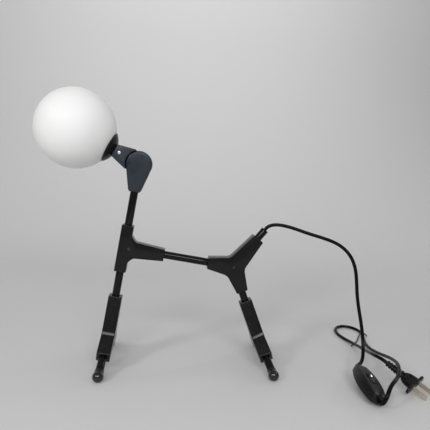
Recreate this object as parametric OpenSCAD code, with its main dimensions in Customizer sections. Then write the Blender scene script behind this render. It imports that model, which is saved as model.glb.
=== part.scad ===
/* [Tubes and feet] */
// Outside diameter of every tube
tube_d = 10; // [8:0.5:12]
// Wall of every tube
tube_wall = 1; // [0.6:0.1:1.4]
// Length of tube held inside each connector arm
socket_depth = 13; // [10:0.5:14]
// Cut length of the neck tube
neck_tube_len = 72; // [60:1:110]
// Cut length of the body tube
body_tube_len = 84; // [70:1:140]
// Cut length of the front leg tube
front_tube_len = 59; // [50:1:80]
// Cut length of the rear leg tube
rear_tube_len = 40; // [34:1:60]
// Cut length of each foot tube
foot_tube_len = 38; // [30:1:55]
// Cut length of the tail stub
tail_tube_len = 26; // [22:1:40]
// Diameter of the ball at the end of each foot
ball_d = 13.5; // [13:0.5:18]
// Depth of the flat worn on the underside of each ball
ball_flat = 0.5; // [0.3:0.1:0.8]

/* [Connectors] */
// Width of a connector arm at its end
arm_end_w = 15; // [14:0.5:18]
// Thickness of every connector
arm_thick = 17; // [16:0.5:20]
// Length of the upright sleeve of the shoulder tee
tee_sleeve_len = 61; // [56:1:76]
// Length of the tee arm from the sleeve axis to its end
tee_arm_len = 52; // [46:1:64]
// Half width of the tee arm where it leaves the sleeve
tee_root_half = 11; // [10:0.5:13]
// Length of a short arm of a three way connector
short_arm_len = 35; // [32:1:45]
// Length of the tail arm of the hip
tail_arm_len = 50; // [44:1:60]
// Length of the stem of a leg fork
fork_stem_len = 55; // [46:1:66]
// Distance from the middle of a three way connector to its inside corners
corner_reach = 14; // [13:0.5:16]
// Radius in the inside corners of the connectors
corner_fillet = 8; // [4:0.5:10]
// Shank diameter of a connector screw
shell_screw_d = 3; // [2.5:0.1:3.4]
// Head diameter of a connector screw
shell_screw_head_d = 5.4; // [5:0.1:6]
// Distance of the tee screw from the sleeve axis
tee_screw_out = 6.4; // [6:0.1:7]

/* [Head] */
// Radius of the discs of the tilting joint
joint_r = 16.5; // [15:0.5:20]
// Distance from the joint axis to the lower end of the housing
housing_len = 36; // [34:1:48]
// Distance from the joint axis to the end of the knuckle
knuckle_len = 34.8; // [33:0.2:44]
// Width of the knuckle at its end
knuckle_end_w = 16.4; // [15:0.2:19]
// Half angle of the knuckle where its upper side meets the disc
knuckle_half_angle = 50; // [44:1:52]
// Half angle of the knuckle where its lower side meets the disc
knuckle_low_angle = 49; // [40:1:50]
// Rise of the head axis above level
head_lift = 27.5; // [20:0.5:60]
// Diameter of the pivot bolt
pivot_d = 5; // [4:0.5:6]
// Outside diameter of the globe
globe_d = 100; // [90:1:120]
// Wall of the globe
globe_wall = 2.5; // [2:0.1:4]
// Radius of the round opening of the globe
globe_mouth_r = 16; // [15:0.5:20]
// Radius of the rim of the cap
cap_r = 19; // [18:0.5:23]
// Height of the domed cap
cap_rise = 8.2; // [6:0.1:10]
// Sheet thickness of the cap
cap_wall = 1.2; // [0.8:0.1:1.6]
// Diameter of the hollow threaded nipple
nipple_d = 10; // [8:0.5:10]
// Diameter of the lamp holder
holder_d = 20; // [18:0.5:24]
// Length of the lamp holder
holder_len = 24; // [20:1:30]
// Diameter of the bulb
bulb_d = 16; // [12:0.5:18]
// Length of the bulb
bulb_len = 44; // [36:1:50]

/* [Cord, switch and plug] */
// Diameter of the mains cord
cord_d = 4.6; // [4:0.1:5]
// Length of the cord switch
switch_len = 60; // [56:1:72]
// Width of the cord switch in the middle
switch_w = 24; // [22:0.5:28]
// Width of the cord switch at its ends
switch_end_w = 15.5; // [12:0.5:18]
// Height of the cord switch in the middle
switch_h = 15; // [14.5:0.5:18]
// Height of the cord switch at its ends
switch_end_h = 11; // [10.5:0.5:13]
// Wall of the switch shells
switch_wall = 1.6; // [1.2:0.1:2]
// Length of the rocker
rocker_len = 15; // [13:0.5:18]
// Width of the rocker
rocker_w = 9; // [8:0.5:10]
// Tilt of the rocker to each side
rocker_tilt = 8; // [5:0.5:10]
// Length of the ribbed sleeve behind the plug
relief_len = 23; // [18:1:34]
// Length of the plug body
plug_len = 17; // [15:1:30]
// Width across the finger guard of the plug
guard_w = 35; // [30:0.5:38]
// Length of the plug pins beyond the guard
pin_len = 17.5; // [16:0.5:20]
// Spacing of the plug pins
pin_pitch = 12.7; // [12:0.1:13]

/* [Hidden] */
$fn = 64;
tube_fit = 0.05;
lap_gap = 0.4;
lap_round = 1.1;
run_gap = 0.4;
seat_gap = 0.1;
through = 1;
tube_r = tube_d / 2;
bore_r = tube_r - tube_wall;
socket_r = tube_r + tube_fit;
half_w = arm_end_w / 2;
half_t = arm_thick / 2;
ball_r = ball_d / 2;
cord_r = cord_d / 2;
cord_room = 0.6;
sleeve_half = tee_sleeve_len / 2;
three_way = 120;
branch_angle = three_way / 2;

// Chain of centre distances along the frame
front_len = sleeve_half + front_tube_len - 2 * socket_depth + fork_stem_len;
rear_len = short_arm_len + rear_tube_len - 2 * socket_depth + fork_stem_len;
body_len = tee_arm_len + body_tube_len - 2 * socket_depth + short_arm_len;
ball_seat = 2;
foot_len = short_arm_len - socket_depth + foot_tube_len + ball_seat;
neck_socket = 16;
neck_len = sleeve_half - socket_depth + neck_tube_len - neck_socket + housing_len;
front_drop = front_len + foot_len * cos(branch_angle);
rear_drop = rear_len + foot_len * cos(branch_angle);
rear_lean = 90 - branch_angle;
// Slope of the body at which all four feet stand level
slope = atan((front_drop - rear_drop * cos(rear_lean)) / (body_len + rear_drop * sin(rear_lean)));

function turned(x, z, a) = [x * cos(a) + z * sin(a), 0, z * cos(a) - x * sin(a)];
foot_z = ball_r - ball_flat;
globe_r = globe_d / 2;
cap_seat = knuckle_len;
rim_depth = sqrt(pow(globe_r, 2) - pow(cap_r, 2));
head_len = cap_seat + cap_rise + rim_depth;
// Places measured from the tee, before the whole lamp is centred on the table
joint_rel = turned(0, neck_len, slope);
globe_rel = joint_rel + head_len * [-cos(head_lift), 0, sin(head_lift)];
hip_rel = turned(body_len, 0, slope);
rear_fork_rel = hip_rel + rear_len * turned(0, -1, slope - rear_lean);
rear_foot_rel = rear_fork_rel + foot_len * cos(branch_angle) * turned(0, -1, slope - rear_lean);
left_end = globe_rel[0] - globe_r;
right_end = rear_foot_rel[0] + ball_r;
tee_at = [-(left_end + right_end) / 2, 0, front_drop * cos(slope) + foot_z];
joint_at = tee_at + joint_rel;
hip_at = tee_at + hip_rel;
front_fork_at = tee_at + front_len * turned(0, -1, slope);
rear_fork_at = tee_at + rear_fork_rel;
tail_axis = turned(cos(branch_angle), sin(branch_angle), slope);
bush_lip = 1.5;
tail_out = tail_arm_len - socket_depth + tail_tube_len;
tail_tip = hip_at + (tail_out + bush_lip) * tail_axis;

module at_tee() translate(tee_at) rotate([0, slope, 0]) children();
module at_hip() translate(hip_at) rotate([0, slope, 0]) children();
module at_front_fork() translate(front_fork_at) rotate([0, slope, 0]) children();
module at_rear_fork() translate(rear_fork_at) rotate([0, slope - rear_lean, 0]) children();
module at_joint() translate(joint_at) rotate([0, slope, 0]) children();
module at_head() translate(joint_at) rotate([0, head_lift - 90, 0]) children();
// Turns the local Z axis to an angle above X in the XZ plane
module along(a) rotate([0, 90 - a, 0]) children();
// Turns a flat connector so that its plane faces along X
module across() rotate([0, 0, 90]) children();

function heading(a) = [cos(a), sin(a)];
function unit(v) = v / norm(v);
function arc_sweep(a, b) = let (d = b - a) d > 180 ? d - 360 : d < -180 ? d + 360 : d;
// Points of a round in the corner c between the points p and q
function corner_round(p, c, q, r, n = 8) =
    let (u = unit(p - c), v = unit(q - c))
    let (half = acos(u * v) / 2)
    let (mid = c + unit(u + v) * r / sin(half))
    let (from = c + u * r / tan(half) - mid, to = c + v * r / tan(half) - mid)
    let (a = atan2(from[1], from[0]), sweep = arc_sweep(a, atan2(to[1], to[0])))
    [for (i = [0:n]) mid + r * heading(a + sweep * i / n)];
function arm_end(a, len, side) = len * heading(a) + side * half_w * heading(a + 90);
function three_way_corner(a, p, q) = corner_round(p, corner_reach * heading(a), q, corner_fillet);
// Angles and lengths of the arms of the hip and of a leg fork
hip_arms = [[branch_angle, tail_arm_len], [180, short_arm_len], [360 - branch_angle, short_arm_len]];
fork_arms = [[90, fork_stem_len], [270 - branch_angle, short_arm_len], [270 + branch_angle, short_arm_len]];
// Outline of a three way connector, from one arm to the next
function three_way_outline(arms) =
    [for (i = [0:2])
        let (a = arms[i], b = arms[(i + 1) % 3], turn = (b[0] - a[0] + 360) % 360)
        let (p = arm_end(a[0], a[1], 1), q = arm_end(b[0], b[1], -1))
        each concat([arm_end(a[0], a[1], -1), p], three_way_corner(a[0] + turn / 2, p, q))];
tee_outline = concat(
    [[-half_w, -sleeve_half], [half_w, -sleeve_half]],
    corner_round([half_w, -sleeve_half], [half_w, -tee_root_half], [tee_arm_len, -half_w], corner_fillet),
    [[tee_arm_len, -half_w], [tee_arm_len, half_w]],
    corner_round([tee_arm_len, half_w], [half_w, tee_root_half], [half_w, sleeve_half], corner_fillet),
    [[half_w, sleeve_half], [-half_w, sleeve_half]]);

// Flat plate of an XZ outline between two Y values
module plate(from, to) translate([0, to, 0]) rotate([90, 0, 0]) linear_extrude(to - from) children();
module pin_y(r, from, to) translate([0, to, 0]) rotate([90, 0, 0]) cylinder(r = r, h = to - from);
module arm_hollow(a, len, in) along(a) {
    cylinder(r = bore_r, h = len);
    translate([0, 0, len - in]) cylinder(r = socket_r, h = in + through);
}
module tube(len) difference() {
    cylinder(r = tube_r, h = len);
    translate([0, 0, -through]) cylinder(r = bore_r, h = len + 2 * through);
}

// Screw that closes the two shells of a connector
screw_fit = 0.03;
screw_head_h = 2;
screw_sink = 0.6;
screw_end = 2.2;
boss_r = 2.8;
screw_len = arm_thick - screw_sink - screw_head_h - screw_end;
screw_slot = 0.8;
module shell_screw() {
    translate([0, -half_t + screw_sink, 0]) difference() {
        union() {
            pin_y(shell_screw_head_d / 2, 0, screw_head_h);
            pin_y(shell_screw_d / 2, screw_head_h, screw_head_h + screw_len);
        }
        for (a = [45, 135])
            along(a) translate([-screw_slot / 2, -through, -shell_screw_d / 2])
                cube([screw_slot, through + screw_slot, shell_screw_d]);
    }
}
module screw_hole() {
    shank_r = shell_screw_d / 2 + screw_fit;
    head_r = shell_screw_head_d / 2 + seat_gap;
    pin_y(shank_r, -half_t - through, half_t - screw_end + seat_gap);
    pin_y(head_r, -half_t - through, -half_t + screw_sink + screw_head_h);
}
// One shell of a connector, the near one at side -1 and the far one at side 1
module shell(side) {
    from = side < 0 ? -half_t : 0;
    difference() {
        plate(from, from + half_t) polygon($outline);
        difference() {
            children(0);
            translate($screw_at) pin_y(boss_r, -half_t, half_t);
        }
        translate($screw_at) screw_hole();
    }
}

lead_r = cord_r;
lead_room = lead_r + cord_room;
tee_bend = 24;
hip_bend = 35;
// Round bend of a lead that turns from one direction to another in the XZ plane
module lead_arc(r, bend, sweep)
    rotate([90, 0, 0]) rotate_extrude(angle = sweep) translate([bend, 0]) circle(r);
module tee_lead_bend(r) translate([tee_bend, 0, tee_bend]) rotate([0, -180, 0]) lead_arc(r, tee_bend, 90);
hip_turn = branch_angle;
hip_run = hip_bend * tan(hip_turn / 2);
module hip_lead_bend(r)
    translate([-hip_run, 0, hip_bend]) rotate([0, 90, 0]) lead_arc(r, hip_bend, hip_turn);

module tee_hollow() {
    for (a = [90, -90]) arm_hollow(a, sleeve_half, socket_depth);
    arm_hollow(0, tee_arm_len, socket_depth);
    tee_lead_bend(lead_room);
}
module tee_shell(side) {
    $outline = tee_outline;
    $screw_at = [tee_screw_out, 0, 0];
    at_tee() shell(side) tee_hollow();
}
module three_way_shell(side, arms) {
    $outline = three_way_outline(arms);
    $screw_at = [0, 0, 0];
    shell(side) {
        union() {
            for (a = arms) arm_hollow(a[0], a[1], socket_depth);
            children();
        }
    }
}
module hip_shell(side) at_hip() three_way_shell(side, hip_arms) hip_lead_bend(lead_room);
module fork_shell(side) across() three_way_shell(side, fork_arms);

module shoulder_near_shell() color([0.11, 0.11, 0.11]) tee_shell(-1);
module shoulder_far_shell() color([0.11, 0.11, 0.11]) tee_shell(1);
module shoulder_screw() color([0.3, 0.3, 0.31]) at_tee() translate([tee_screw_out, 0, 0]) shell_screw();
module hip_near_shell() color([0.11, 0.11, 0.11]) hip_shell(-1);
module hip_far_shell() color([0.11, 0.11, 0.11]) hip_shell(1);
module hip_screw() color([0.3, 0.3, 0.31]) at_hip() shell_screw();
module front_fork_fore_shell() color([0.11, 0.11, 0.11]) at_front_fork() fork_shell(1);
module front_fork_aft_shell() color([0.11, 0.11, 0.11]) at_front_fork() fork_shell(-1);
module front_fork_screw() color([0.3, 0.3, 0.31]) at_front_fork() across() shell_screw();
module rear_fork_fore_shell() color([0.11, 0.11, 0.11]) at_rear_fork() fork_shell(1);
module rear_fork_aft_shell() color([0.11, 0.11, 0.11]) at_rear_fork() fork_shell(-1);
module rear_fork_screw() color([0.3, 0.3, 0.31]) at_rear_fork() across() shell_screw();

module neck_tube() color([0.04, 0.04, 0.04])
    at_tee() translate([0, 0, sleeve_half - socket_depth]) tube(neck_tube_len);
module body_tube() color([0.04, 0.04, 0.04])
    at_tee() along(0) translate([0, 0, tee_arm_len - socket_depth]) tube(body_tube_len);
module tail_tube() color([0.04, 0.04, 0.04])
    at_hip() along(branch_angle) translate([0, 0, tail_arm_len - socket_depth]) tube(tail_tube_len);
module front_leg_tube() color([0.04, 0.04, 0.04])
    at_tee() along(-90) translate([0, 0, sleeve_half - socket_depth]) tube(front_tube_len);
module rear_leg_tube() color([0.04, 0.04, 0.04])
    at_hip() along(-branch_angle) translate([0, 0, short_arm_len - socket_depth]) tube(rear_tube_len);

// Foot of a fork branch, the near one at side -1 and the far one at side 1
module on_branch(side) rotate([side * (180 - branch_angle) * -1, 0, 0]) children();
module foot_tube(side) on_branch(side) translate([0, 0, short_arm_len - socket_depth]) tube(foot_tube_len);
module foot_ball(side) on_branch(side) translate([0, 0, foot_len]) difference() {
    sphere(ball_r);
    translate([0, 0, -ball_r - through]) cylinder(r = socket_r, h = ball_r + through - ball_seat);
}
module level_cut() difference() {
    children();
    translate([-globe_d * 5, -globe_d * 5, -ball_d]) cube([globe_d * 10, globe_d * 10, ball_d]);
}
module front_near_foot_tube() color([0.04, 0.04, 0.04]) at_front_fork() foot_tube(-1);
module front_far_foot_tube() color([0.04, 0.04, 0.04]) at_front_fork() foot_tube(1);
module rear_near_foot_tube() color([0.04, 0.04, 0.04]) at_rear_fork() foot_tube(-1);
module rear_far_foot_tube() color([0.04, 0.04, 0.04]) at_rear_fork() foot_tube(1);
module front_near_ball() color([0.05, 0.05, 0.05]) level_cut() at_front_fork() foot_ball(-1);
module front_far_ball() color([0.05, 0.05, 0.05]) level_cut() at_front_fork() foot_ball(1);
module rear_near_ball() color([0.05, 0.05, 0.05]) level_cut() at_rear_fork() foot_ball(-1);
module rear_far_ball() color([0.05, 0.05, 0.05]) level_cut() at_rear_fork() foot_ball(1);

// Tilting joint: the housing has the near disc and the knuckle has the far disc
washer_t = 0.7;
lap_r = joint_r + lap_round;
lead_from = joint_r + run_gap;
channel_r = 3.5;
channel_from = 9;
shoulder_angle = acos(joint_r / norm([half_w, housing_len])) + atan(half_w / housing_len);
grub_d = 4;
grub_up = 27;
grub_len = 3;
nut_flats = 8;
nut_t = 4;
bolt_head_d = 8.5;
bolt_head_h = 3;
nut_cover = 1.8;
wave_t = 0.8;
hex_corner = 1 / cos(30);
module hex_y(flats, from, to)
    translate([0, to, 0]) rotate([90, 30, 0]) cylinder(d = flats * hex_corner, h = to - from, $fn = 6);
// Outline of the housing: a round head with straight sides that touch it
round_steps = 60;
housing_round = [for (i = [0:round_steps])
    joint_r * heading(shoulder_angle - 90 + (360 - 2 * shoulder_angle) * i / round_steps)];
module housing_outline() polygon(concat([[-half_w, -housing_len], [half_w, -housing_len]], housing_round));
module joint_housing() color([0.2, 0.22, 0.25]) at_joint() difference() {
    plate(-half_t, half_t) housing_outline();
    pin_y(lap_r, -lap_gap, half_t + through);
    along(-90) {
        translate([0, 0, channel_from]) cylinder(r = channel_r, h = housing_len - channel_from);
        translate([0, 0, housing_len - neck_socket - lap_gap])
            cylinder(r = socket_r, h = neck_socket + lap_gap + through);
    }
    hex_y(nut_flats + 2 * seat_gap, -half_t + nut_cover, -half_t + nut_cover + nut_t + seat_gap);
    pin_y(pivot_d / 2 + tube_fit, -half_t + nut_cover, 0);
    translate([0, 0, -grub_up]) pin_y(grub_d / 2 + screw_fit, 0, half_t + through);
}
module grub(from) pin_y(grub_d / 2, from, from + grub_len);
module housing_grub_screw() color([0.7, 0.7, 0.7])
    at_joint() translate([0, 0, -grub_up]) grub(tube_r + lap_gap);
bolt_head_at = half_t - bolt_head_h - screw_sink;
module pivot_bolt() color([0.6, 0.6, 0.62]) at_joint() difference() {
    union() {
        pin_y(pivot_d / 2, -half_t + nut_cover + seat_gap, bolt_head_at);
        pin_y(bolt_head_d / 2, bolt_head_at, bolt_head_at + bolt_head_h);
    }
    hex_y(pivot_d * 0.8, bolt_head_at + bolt_head_h / 2, half_t);
}
module pivot_nut() color([0.6, 0.6, 0.62]) at_joint() difference() {
    hex_y(nut_flats, -half_t + nut_cover + seat_gap, -half_t + nut_cover + nut_t);
    pin_y(pivot_d / 2 + screw_fit, -half_t, 0);
}
module friction_washer() color([0.75, 0.7, 0.6]) at_joint() difference() {
    pin_y(joint_r - run_gap, -lap_gap, -lap_gap + washer_t);
    pin_y(pivot_d / 2 + tube_fit, -half_t, half_t);
    translate([0, 0, -joint_r]) pin_y(channel_r + tube_wall, -half_t, half_t);
}
module spring_washer() color([0.6, 0.6, 0.62]) at_joint() difference() {
    pin_y(bolt_head_d / 2, bolt_head_at - wave_t, bolt_head_at);
    pin_y(pivot_d / 2 + tube_fit, -half_t, half_t);
}
knuckle_grub_up = 28;
knuckle_bore = 13;
module knuckle_outline() {
    circle(joint_r);
    upper = (lap_r + 1) * heading(90 - knuckle_half_angle);
    lower = (lap_r + 1) * heading(90 - knuckle_low_angle);
    tip = knuckle_end_w / 2;
    polygon([[-tip, knuckle_len], [-lower[0], lower[1]], [0, 0], upper, [tip, knuckle_len]]);
}
module head_knuckle() color([0.2, 0.22, 0.25]) at_head() difference() {
    plate(-half_t, half_t) knuckle_outline();
    pin_y(lap_r, -half_t - through, lap_gap);
    translate([0, 0, channel_from]) cylinder(r = channel_r, h = knuckle_len - channel_from);
    translate([0, 0, knuckle_len - knuckle_bore])
        cylinder(r = nipple_d / 2 + tube_fit, h = knuckle_bore + through);
    pin_y(pivot_d / 2 + tube_fit, 0, half_t);
    pin_y(bolt_head_d / 2 + run_gap, bolt_head_at - wave_t - seat_gap, half_t + through);
    translate([0, 0, knuckle_grub_up]) pin_y(grub_d / 2 + screw_fit, -half_t - through, 0);
}
module knuckle_grub_screw() color([0.8, 0.8, 0.8])
    at_head() translate([0, 0, knuckle_grub_up]) mirror([0, 1, 0]) grub(nipple_d / 2 + seat_gap);

// Cap, lamp holder, bulb and globe along the head axis
cap_sphere_r = (pow(cap_r, 2) + pow(cap_rise, 2)) / (2 * cap_rise);
cap_flat = 0.6;
ring_wall = 2;
ring_in = 5;
nipple_r = nipple_d / 2;
nipple_len = 24;
nipple_nut_t = 3;
nipple_nut_flats = 14;
nut_seat = cap_seat + cap_flat + cap_wall + seat_gap;
holder_at = nut_seat + nipple_nut_t + seat_gap;
nipple_from = knuckle_len - knuckle_bore + seat_gap;
bulb_at = holder_at + holder_len;
bulb_pin_d = 1.8;
bulb_pin_len = 8;
bulb_pin_half = 4.5;
globe_at = head_len;
module globe_shade() color([0.95, 0.95, 0.93]) at_head() difference() {
    translate([0, 0, globe_at]) sphere(globe_r, $fn = 128);
    translate([0, 0, globe_at]) sphere(globe_r - globe_wall, $fn = 128);
    cylinder(r = globe_mouth_r, h = globe_at);
}
module shade_cap() color([0.08, 0.08, 0.08]) at_head() difference() {
    union() {
        difference() {
            translate([0, 0, cap_seat + cap_sphere_r - cap_flat]) sphere(cap_sphere_r);
            translate([0, 0, cap_seat + cap_sphere_r - cap_flat]) sphere(cap_sphere_r - cap_wall);
        }
        cylinder(r = globe_mouth_r - seat_gap, h = cap_seat + cap_rise + ring_in);
        cylinder(r = nipple_r + ring_wall, h = cap_seat + cap_flat + cap_wall);
    }
    translate([0, 0, -globe_d]) cylinder(r = globe_d, h = globe_d + cap_seat);
    translate([0, 0, cap_seat + cap_rise + ring_in]) cylinder(r = globe_d, h = globe_d);
    translate([0, 0, cap_seat + cap_flat + cap_wall])
        cylinder(r = globe_mouth_r - seat_gap - ring_wall, h = globe_d);
    cylinder(r = nipple_r + tube_fit, h = globe_d);
    difference() {
        translate([0, 0, globe_at]) sphere(globe_r + seat_gap, $fn = 128);
        cylinder(r = globe_mouth_r - seat_gap, h = globe_at);
    }
}
module holder_nipple() color([0.7, 0.7, 0.7]) at_head() difference() {
    translate([0, 0, nipple_from]) cylinder(r = nipple_r, h = nipple_len);
    cylinder(r = channel_r, h = globe_d);
}
module nipple_nut() color([0.7, 0.7, 0.7]) at_head() difference() {
    translate([0, 0, nut_seat]) cylinder(d = nipple_nut_flats * hex_corner, h = nipple_nut_t, $fn = 6);
    cylinder(r = nipple_r + tube_fit, h = globe_d);
}
module pin_pair(r, len) for (s = [-1, 1]) translate([s * bulb_pin_half, 0, 0]) cylinder(r = r, h = len);
module lamp_holder() color([0.9, 0.88, 0.84]) at_head() translate([0, 0, holder_at]) difference() {
    cylinder(d = holder_d, h = holder_len);
    nipple_in = nipple_from + nipple_len - holder_at;
    translate([0, 0, -through]) cylinder(r = nipple_r + tube_fit, h = nipple_in + 2 * through);
    translate([0, 0, holder_len - bulb_pin_len - seat_gap])
        pin_pair(bulb_pin_d / 2 + tube_fit, bulb_pin_len + through);
}
module bulb() color([0.98, 0.97, 0.9]) at_head() translate([0, 0, bulb_at]) {
    translate([0, 0, seat_gap]) cylinder(d = bulb_d, h = bulb_len - bulb_d / 2);
    translate([0, 0, bulb_len - bulb_d / 2 + seat_gap]) sphere(d = bulb_d);
    translate([0, 0, -bulb_pin_len]) pin_pair(bulb_pin_d / 2, bulb_pin_len + through);
}

// Leads inside the tubes
lead_top = 2;
function in_tee(p) = tee_at + turned(p[0], p[1], slope);
hip_arc = [for (i = [0:6])
    [body_len - hip_run, hip_bend] + hip_bend * heading(hip_turn * (1 - i / 6) - 90)];
tee_arc = [for (i = [0:8]) [tee_bend, tee_bend] + tee_bend * heading(270 - 90 * i / 8)];
lead_route = concat([tail_tip], [for (p = concat(hip_arc, tee_arc)) in_tee(p)],
    [in_tee([0, neck_len - housing_len + neck_socket + lead_top])]);
module body_lead() color([0.03, 0.03, 0.03]) swept(lead_route, [0, 1, 0], lead_r);
module head_lead() color([0.03, 0.03, 0.03]) at_head()
    translate([0, 0, lead_from]) cylinder(r = lead_r, h = holder_at - lead_from + through);
bush_depth = 8;
module tail_bush() color([0.03, 0.03, 0.03]) at_hip() along(branch_angle) difference() {
    union() {
        translate([0, 0, tail_out]) cylinder(r = tube_r, h = bush_lip);
        translate([0, 0, tail_out - bush_depth]) cylinder(r = bore_r - tube_fit, h = bush_depth);
    }
    cylinder(r = lead_r + tube_fit, h = tail_out + 2 * bush_lip);
}

// Swept round tube along a list of points, square to its ends
function ahead(p, i) = unit(p[min(i + 1, len(p) - 1)] - p[max(i - 1, 0)]);
function ring(p, i, side, r, n) =
    let (t = ahead(p, i), u = unit(cross(t, side)), v = cross(u, t))
    [for (k = [0:n - 1]) p[i] + r * (cos(360 * k / n) * u + sin(360 * k / n) * v)];
module swept(p, side, r, n = 10) {
    m = len(p);
    points = [for (i = [0:m - 1]) each ring(p, i, side, r, n)];
    walls = [for (i = [0:m - 2], k = [0:n - 1])
        let (a = i * n + k, b = i * n + (k + 1) % n)
        each [[a, a + n, b + n], [a, b + n, b]]];
    first = [for (k = [1:n - 2]) [0, k, k + 1]];
    last = [for (k = [1:n - 2]) [(m - 1) * n, (m - 1) * n + k + 1, (m - 1) * n + k]];
    polyhedron(points, concat(walls, first, last));
}

// Plan and side outlines of the cord switch, narrower and lower towards its ends
switch_steps = 12;
function bowed(x, middle, end) = end / 2 + (middle - end) / 2 * (1 - pow(2 * x / switch_len, 2));
function switch_half(x) = bowed(x, switch_w, switch_end_w);
function switch_rise(x) = bowed(x, switch_h, switch_end_h);
function switch_stops(inset) =
    [for (i = [0:switch_steps]) (switch_len / 2 - inset) * (2 * i / switch_steps - 1)];
function switch_plan(inset) =
    let (xs = switch_stops(inset))
    concat([for (x = xs) [x, inset - switch_half(x)]],
        [for (i = [switch_steps:-1:0]) [xs[i], switch_half(xs[i]) - inset]]);
function switch_side(inset) =
    let (xs = switch_stops(inset))
    concat([for (x = xs) [x, inset - switch_rise(x)]],
        [for (i = [switch_steps:-1:0]) [xs[i], switch_rise(xs[i]) - inset]]);
// Direction of a part that is turned on the table and then tipped down
function lying(turn, tip) = [cos(tip) * cos(turn), cos(tip) * sin(turn), -sin(tip)];
// The switch leans on one edge of its base with its front end down on the table
switch_turn = -92.5;
switch_pitch = 10;
switch_roll = -23;
function switch_drop(x) = x * sin(switch_pitch)
    + (switch_rise(x) * cos(switch_roll) - switch_half(x) * sin(switch_roll)) * cos(switch_pitch);
switch_rest = max([for (x = switch_stops(0)) switch_drop(x)]) + seat_gap;
switch_at = [254.6, -91.7, switch_rest];
switch_axis = lying(switch_turn, switch_pitch);
switch_reach = switch_len / 2 + seat_gap;
switch_rear = switch_at - switch_reach * switch_axis;
switch_front = switch_at + switch_reach * switch_axis;
module at_switch() translate(switch_at)
    rotate([0, 0, switch_turn]) rotate([0, switch_pitch, 0]) rotate([switch_roll, 0, 0]) children();

// The plug stands on its pin tips or its finger guard, with the sleeve held up by the cord
body_w = 20;
body_h = 12;
guard_h = 10;
guard_t = 3;
pin_w = 6.3;
pin_t = 1.5;
pin_in = 10;
plug_turn = -55;
plug_pitch = 21;
plug_roll = 16;
pin_side = (pin_pitch + pin_t) / 2 * sin(plug_roll) + pin_w / 2 * cos(plug_roll);
guard_side = (guard_w - guard_h) / 2 * sin(plug_roll) + guard_h / 2;
guard_at = relief_len + plug_len;
plug_rest = max((guard_at + pin_len) * sin(plug_pitch) + pin_side * cos(plug_pitch),
    guard_at * sin(plug_pitch) + guard_side * cos(plug_pitch)) + seat_gap;
plug_at = [292.3, -62.2, plug_rest];
plug_axis = lying(plug_turn, plug_pitch);
module at_plug() translate(plug_at)
    rotate([0, 0, plug_turn]) rotate([0, plug_pitch, 0]) rotate([plug_roll, 0, 0]) children();

// Middle lines of the two stretches of cord
tail_run = 4.5;
switch_run = 3.4;
switch_route = concat(
    [tail_tip, tail_tip + tail_run * tail_axis],
    [[149.3, -0.4, 188.8], [157.3, -1.3, 189.7], [170, -3, 188], [182.6, -4.8, 184.7]],
    [[195.2, -6.7, 180.8], [208, -8.6, 177.3], [220.6, -10.6, 173.8]],
    [[232.8, -12.7, 169.4], [243.9, -14.8, 162.9]],
    [[252.8, -16.8, 153.7], [258.8, -18.4, 142.2], [262, -19.5, 129.6], [263.6, -20.2, 116.6]],
    [[265, -20.6, 103.3], [267.1, -21.1, 90.1], [269.7, -21.9, 77], [272.2, -23.3, 64], [273.7, -26.1, 51]],
    [[273.5, -30.7, 38.6], [271.2, -37.7, 27.8], [268.1, -43.3, 22.6], [263.8, -48.7, 19.9]],
    [[259.1, -53.3, 19.4], switch_rear - switch_run * switch_axis, switch_rear]);
plug_route = concat(
    [switch_front, switch_front + switch_run * switch_axis],
    [[253.5, -128.7, 9.2], [254.5, -131.4, 12.8], [256.3, -131.8, 17.4], [259, -129.8, 21.8]],
    [[262.6, -126, 24.9], [267.3, -121.2, 26.9], [272.9, -115.9, 28], [278.7, -110.1, 28.7]],
    [[285, -102.3, 29.3], [293.9, -86.9, 29.6], [300.8, -70.4, 28.4]],
    [[305.5, -53.7, 25.3], [308.7, -36.7, 21.3]],
    [[310.8, -19.6, 16.8], [312.4, -2.4, 12.3], [314, 14.9, 8.4], [315.8, 32.5, 5.2], [318.6, 50, 3.3]],
    [[323, 67.4, 2.5], [328.9, 84.5, 2.4], [333.7, 102.1, 2.4], [331.9, 119.5, 2.6], [321.1, 130.7, 3]],
    [[307.3, 130.3, 3.1], [295.9, 118, 2.7], [292.1, 100.2, 2.4], [293.7, 82.1, 2.6], [296.4, 64.5, 3.9]],
    [[297.3, 47, 6.4], [296.1, 29.3, 9.9], [293.8, 11.9, 13.6], [291, -5.3, 17.7], [287.8, -22.2, 22.3]],
    [[285.5, -38.6, 26.4], [286.2, -49.8, 28], [289, -57.6, 27.5]],
    [plug_at - seat_gap * plug_axis]);
tie_d = 2;
tie_route = concat(
    [[295.4, 52, 1.2], [298.6, 54.6, 1.3], [302.6, 58.4, 1.5], [307.6, 64.4, 1.6], [313.5, 72, 1.5]],
    [[322.5, 87, 2], [327.4, 92.2, 4.6], [331.3, 91.7, 6.6], [335.2, 91.1, 4.6], [338.8, 92.7, 1.2]]);
module cord_to_switch() color([0.03, 0.03, 0.03]) swept(switch_route, [-0.5, 0.8, 0.3], cord_r);
module cord_to_plug() color([0.03, 0.03, 0.03]) swept(plug_route, [0.8, -0.5, 0.33], cord_r);
module cord_tie() color([0.3, 0.31, 0.25]) swept(tie_route, [0.3, -0.6, 0.74], tie_d / 2, 8);

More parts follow.
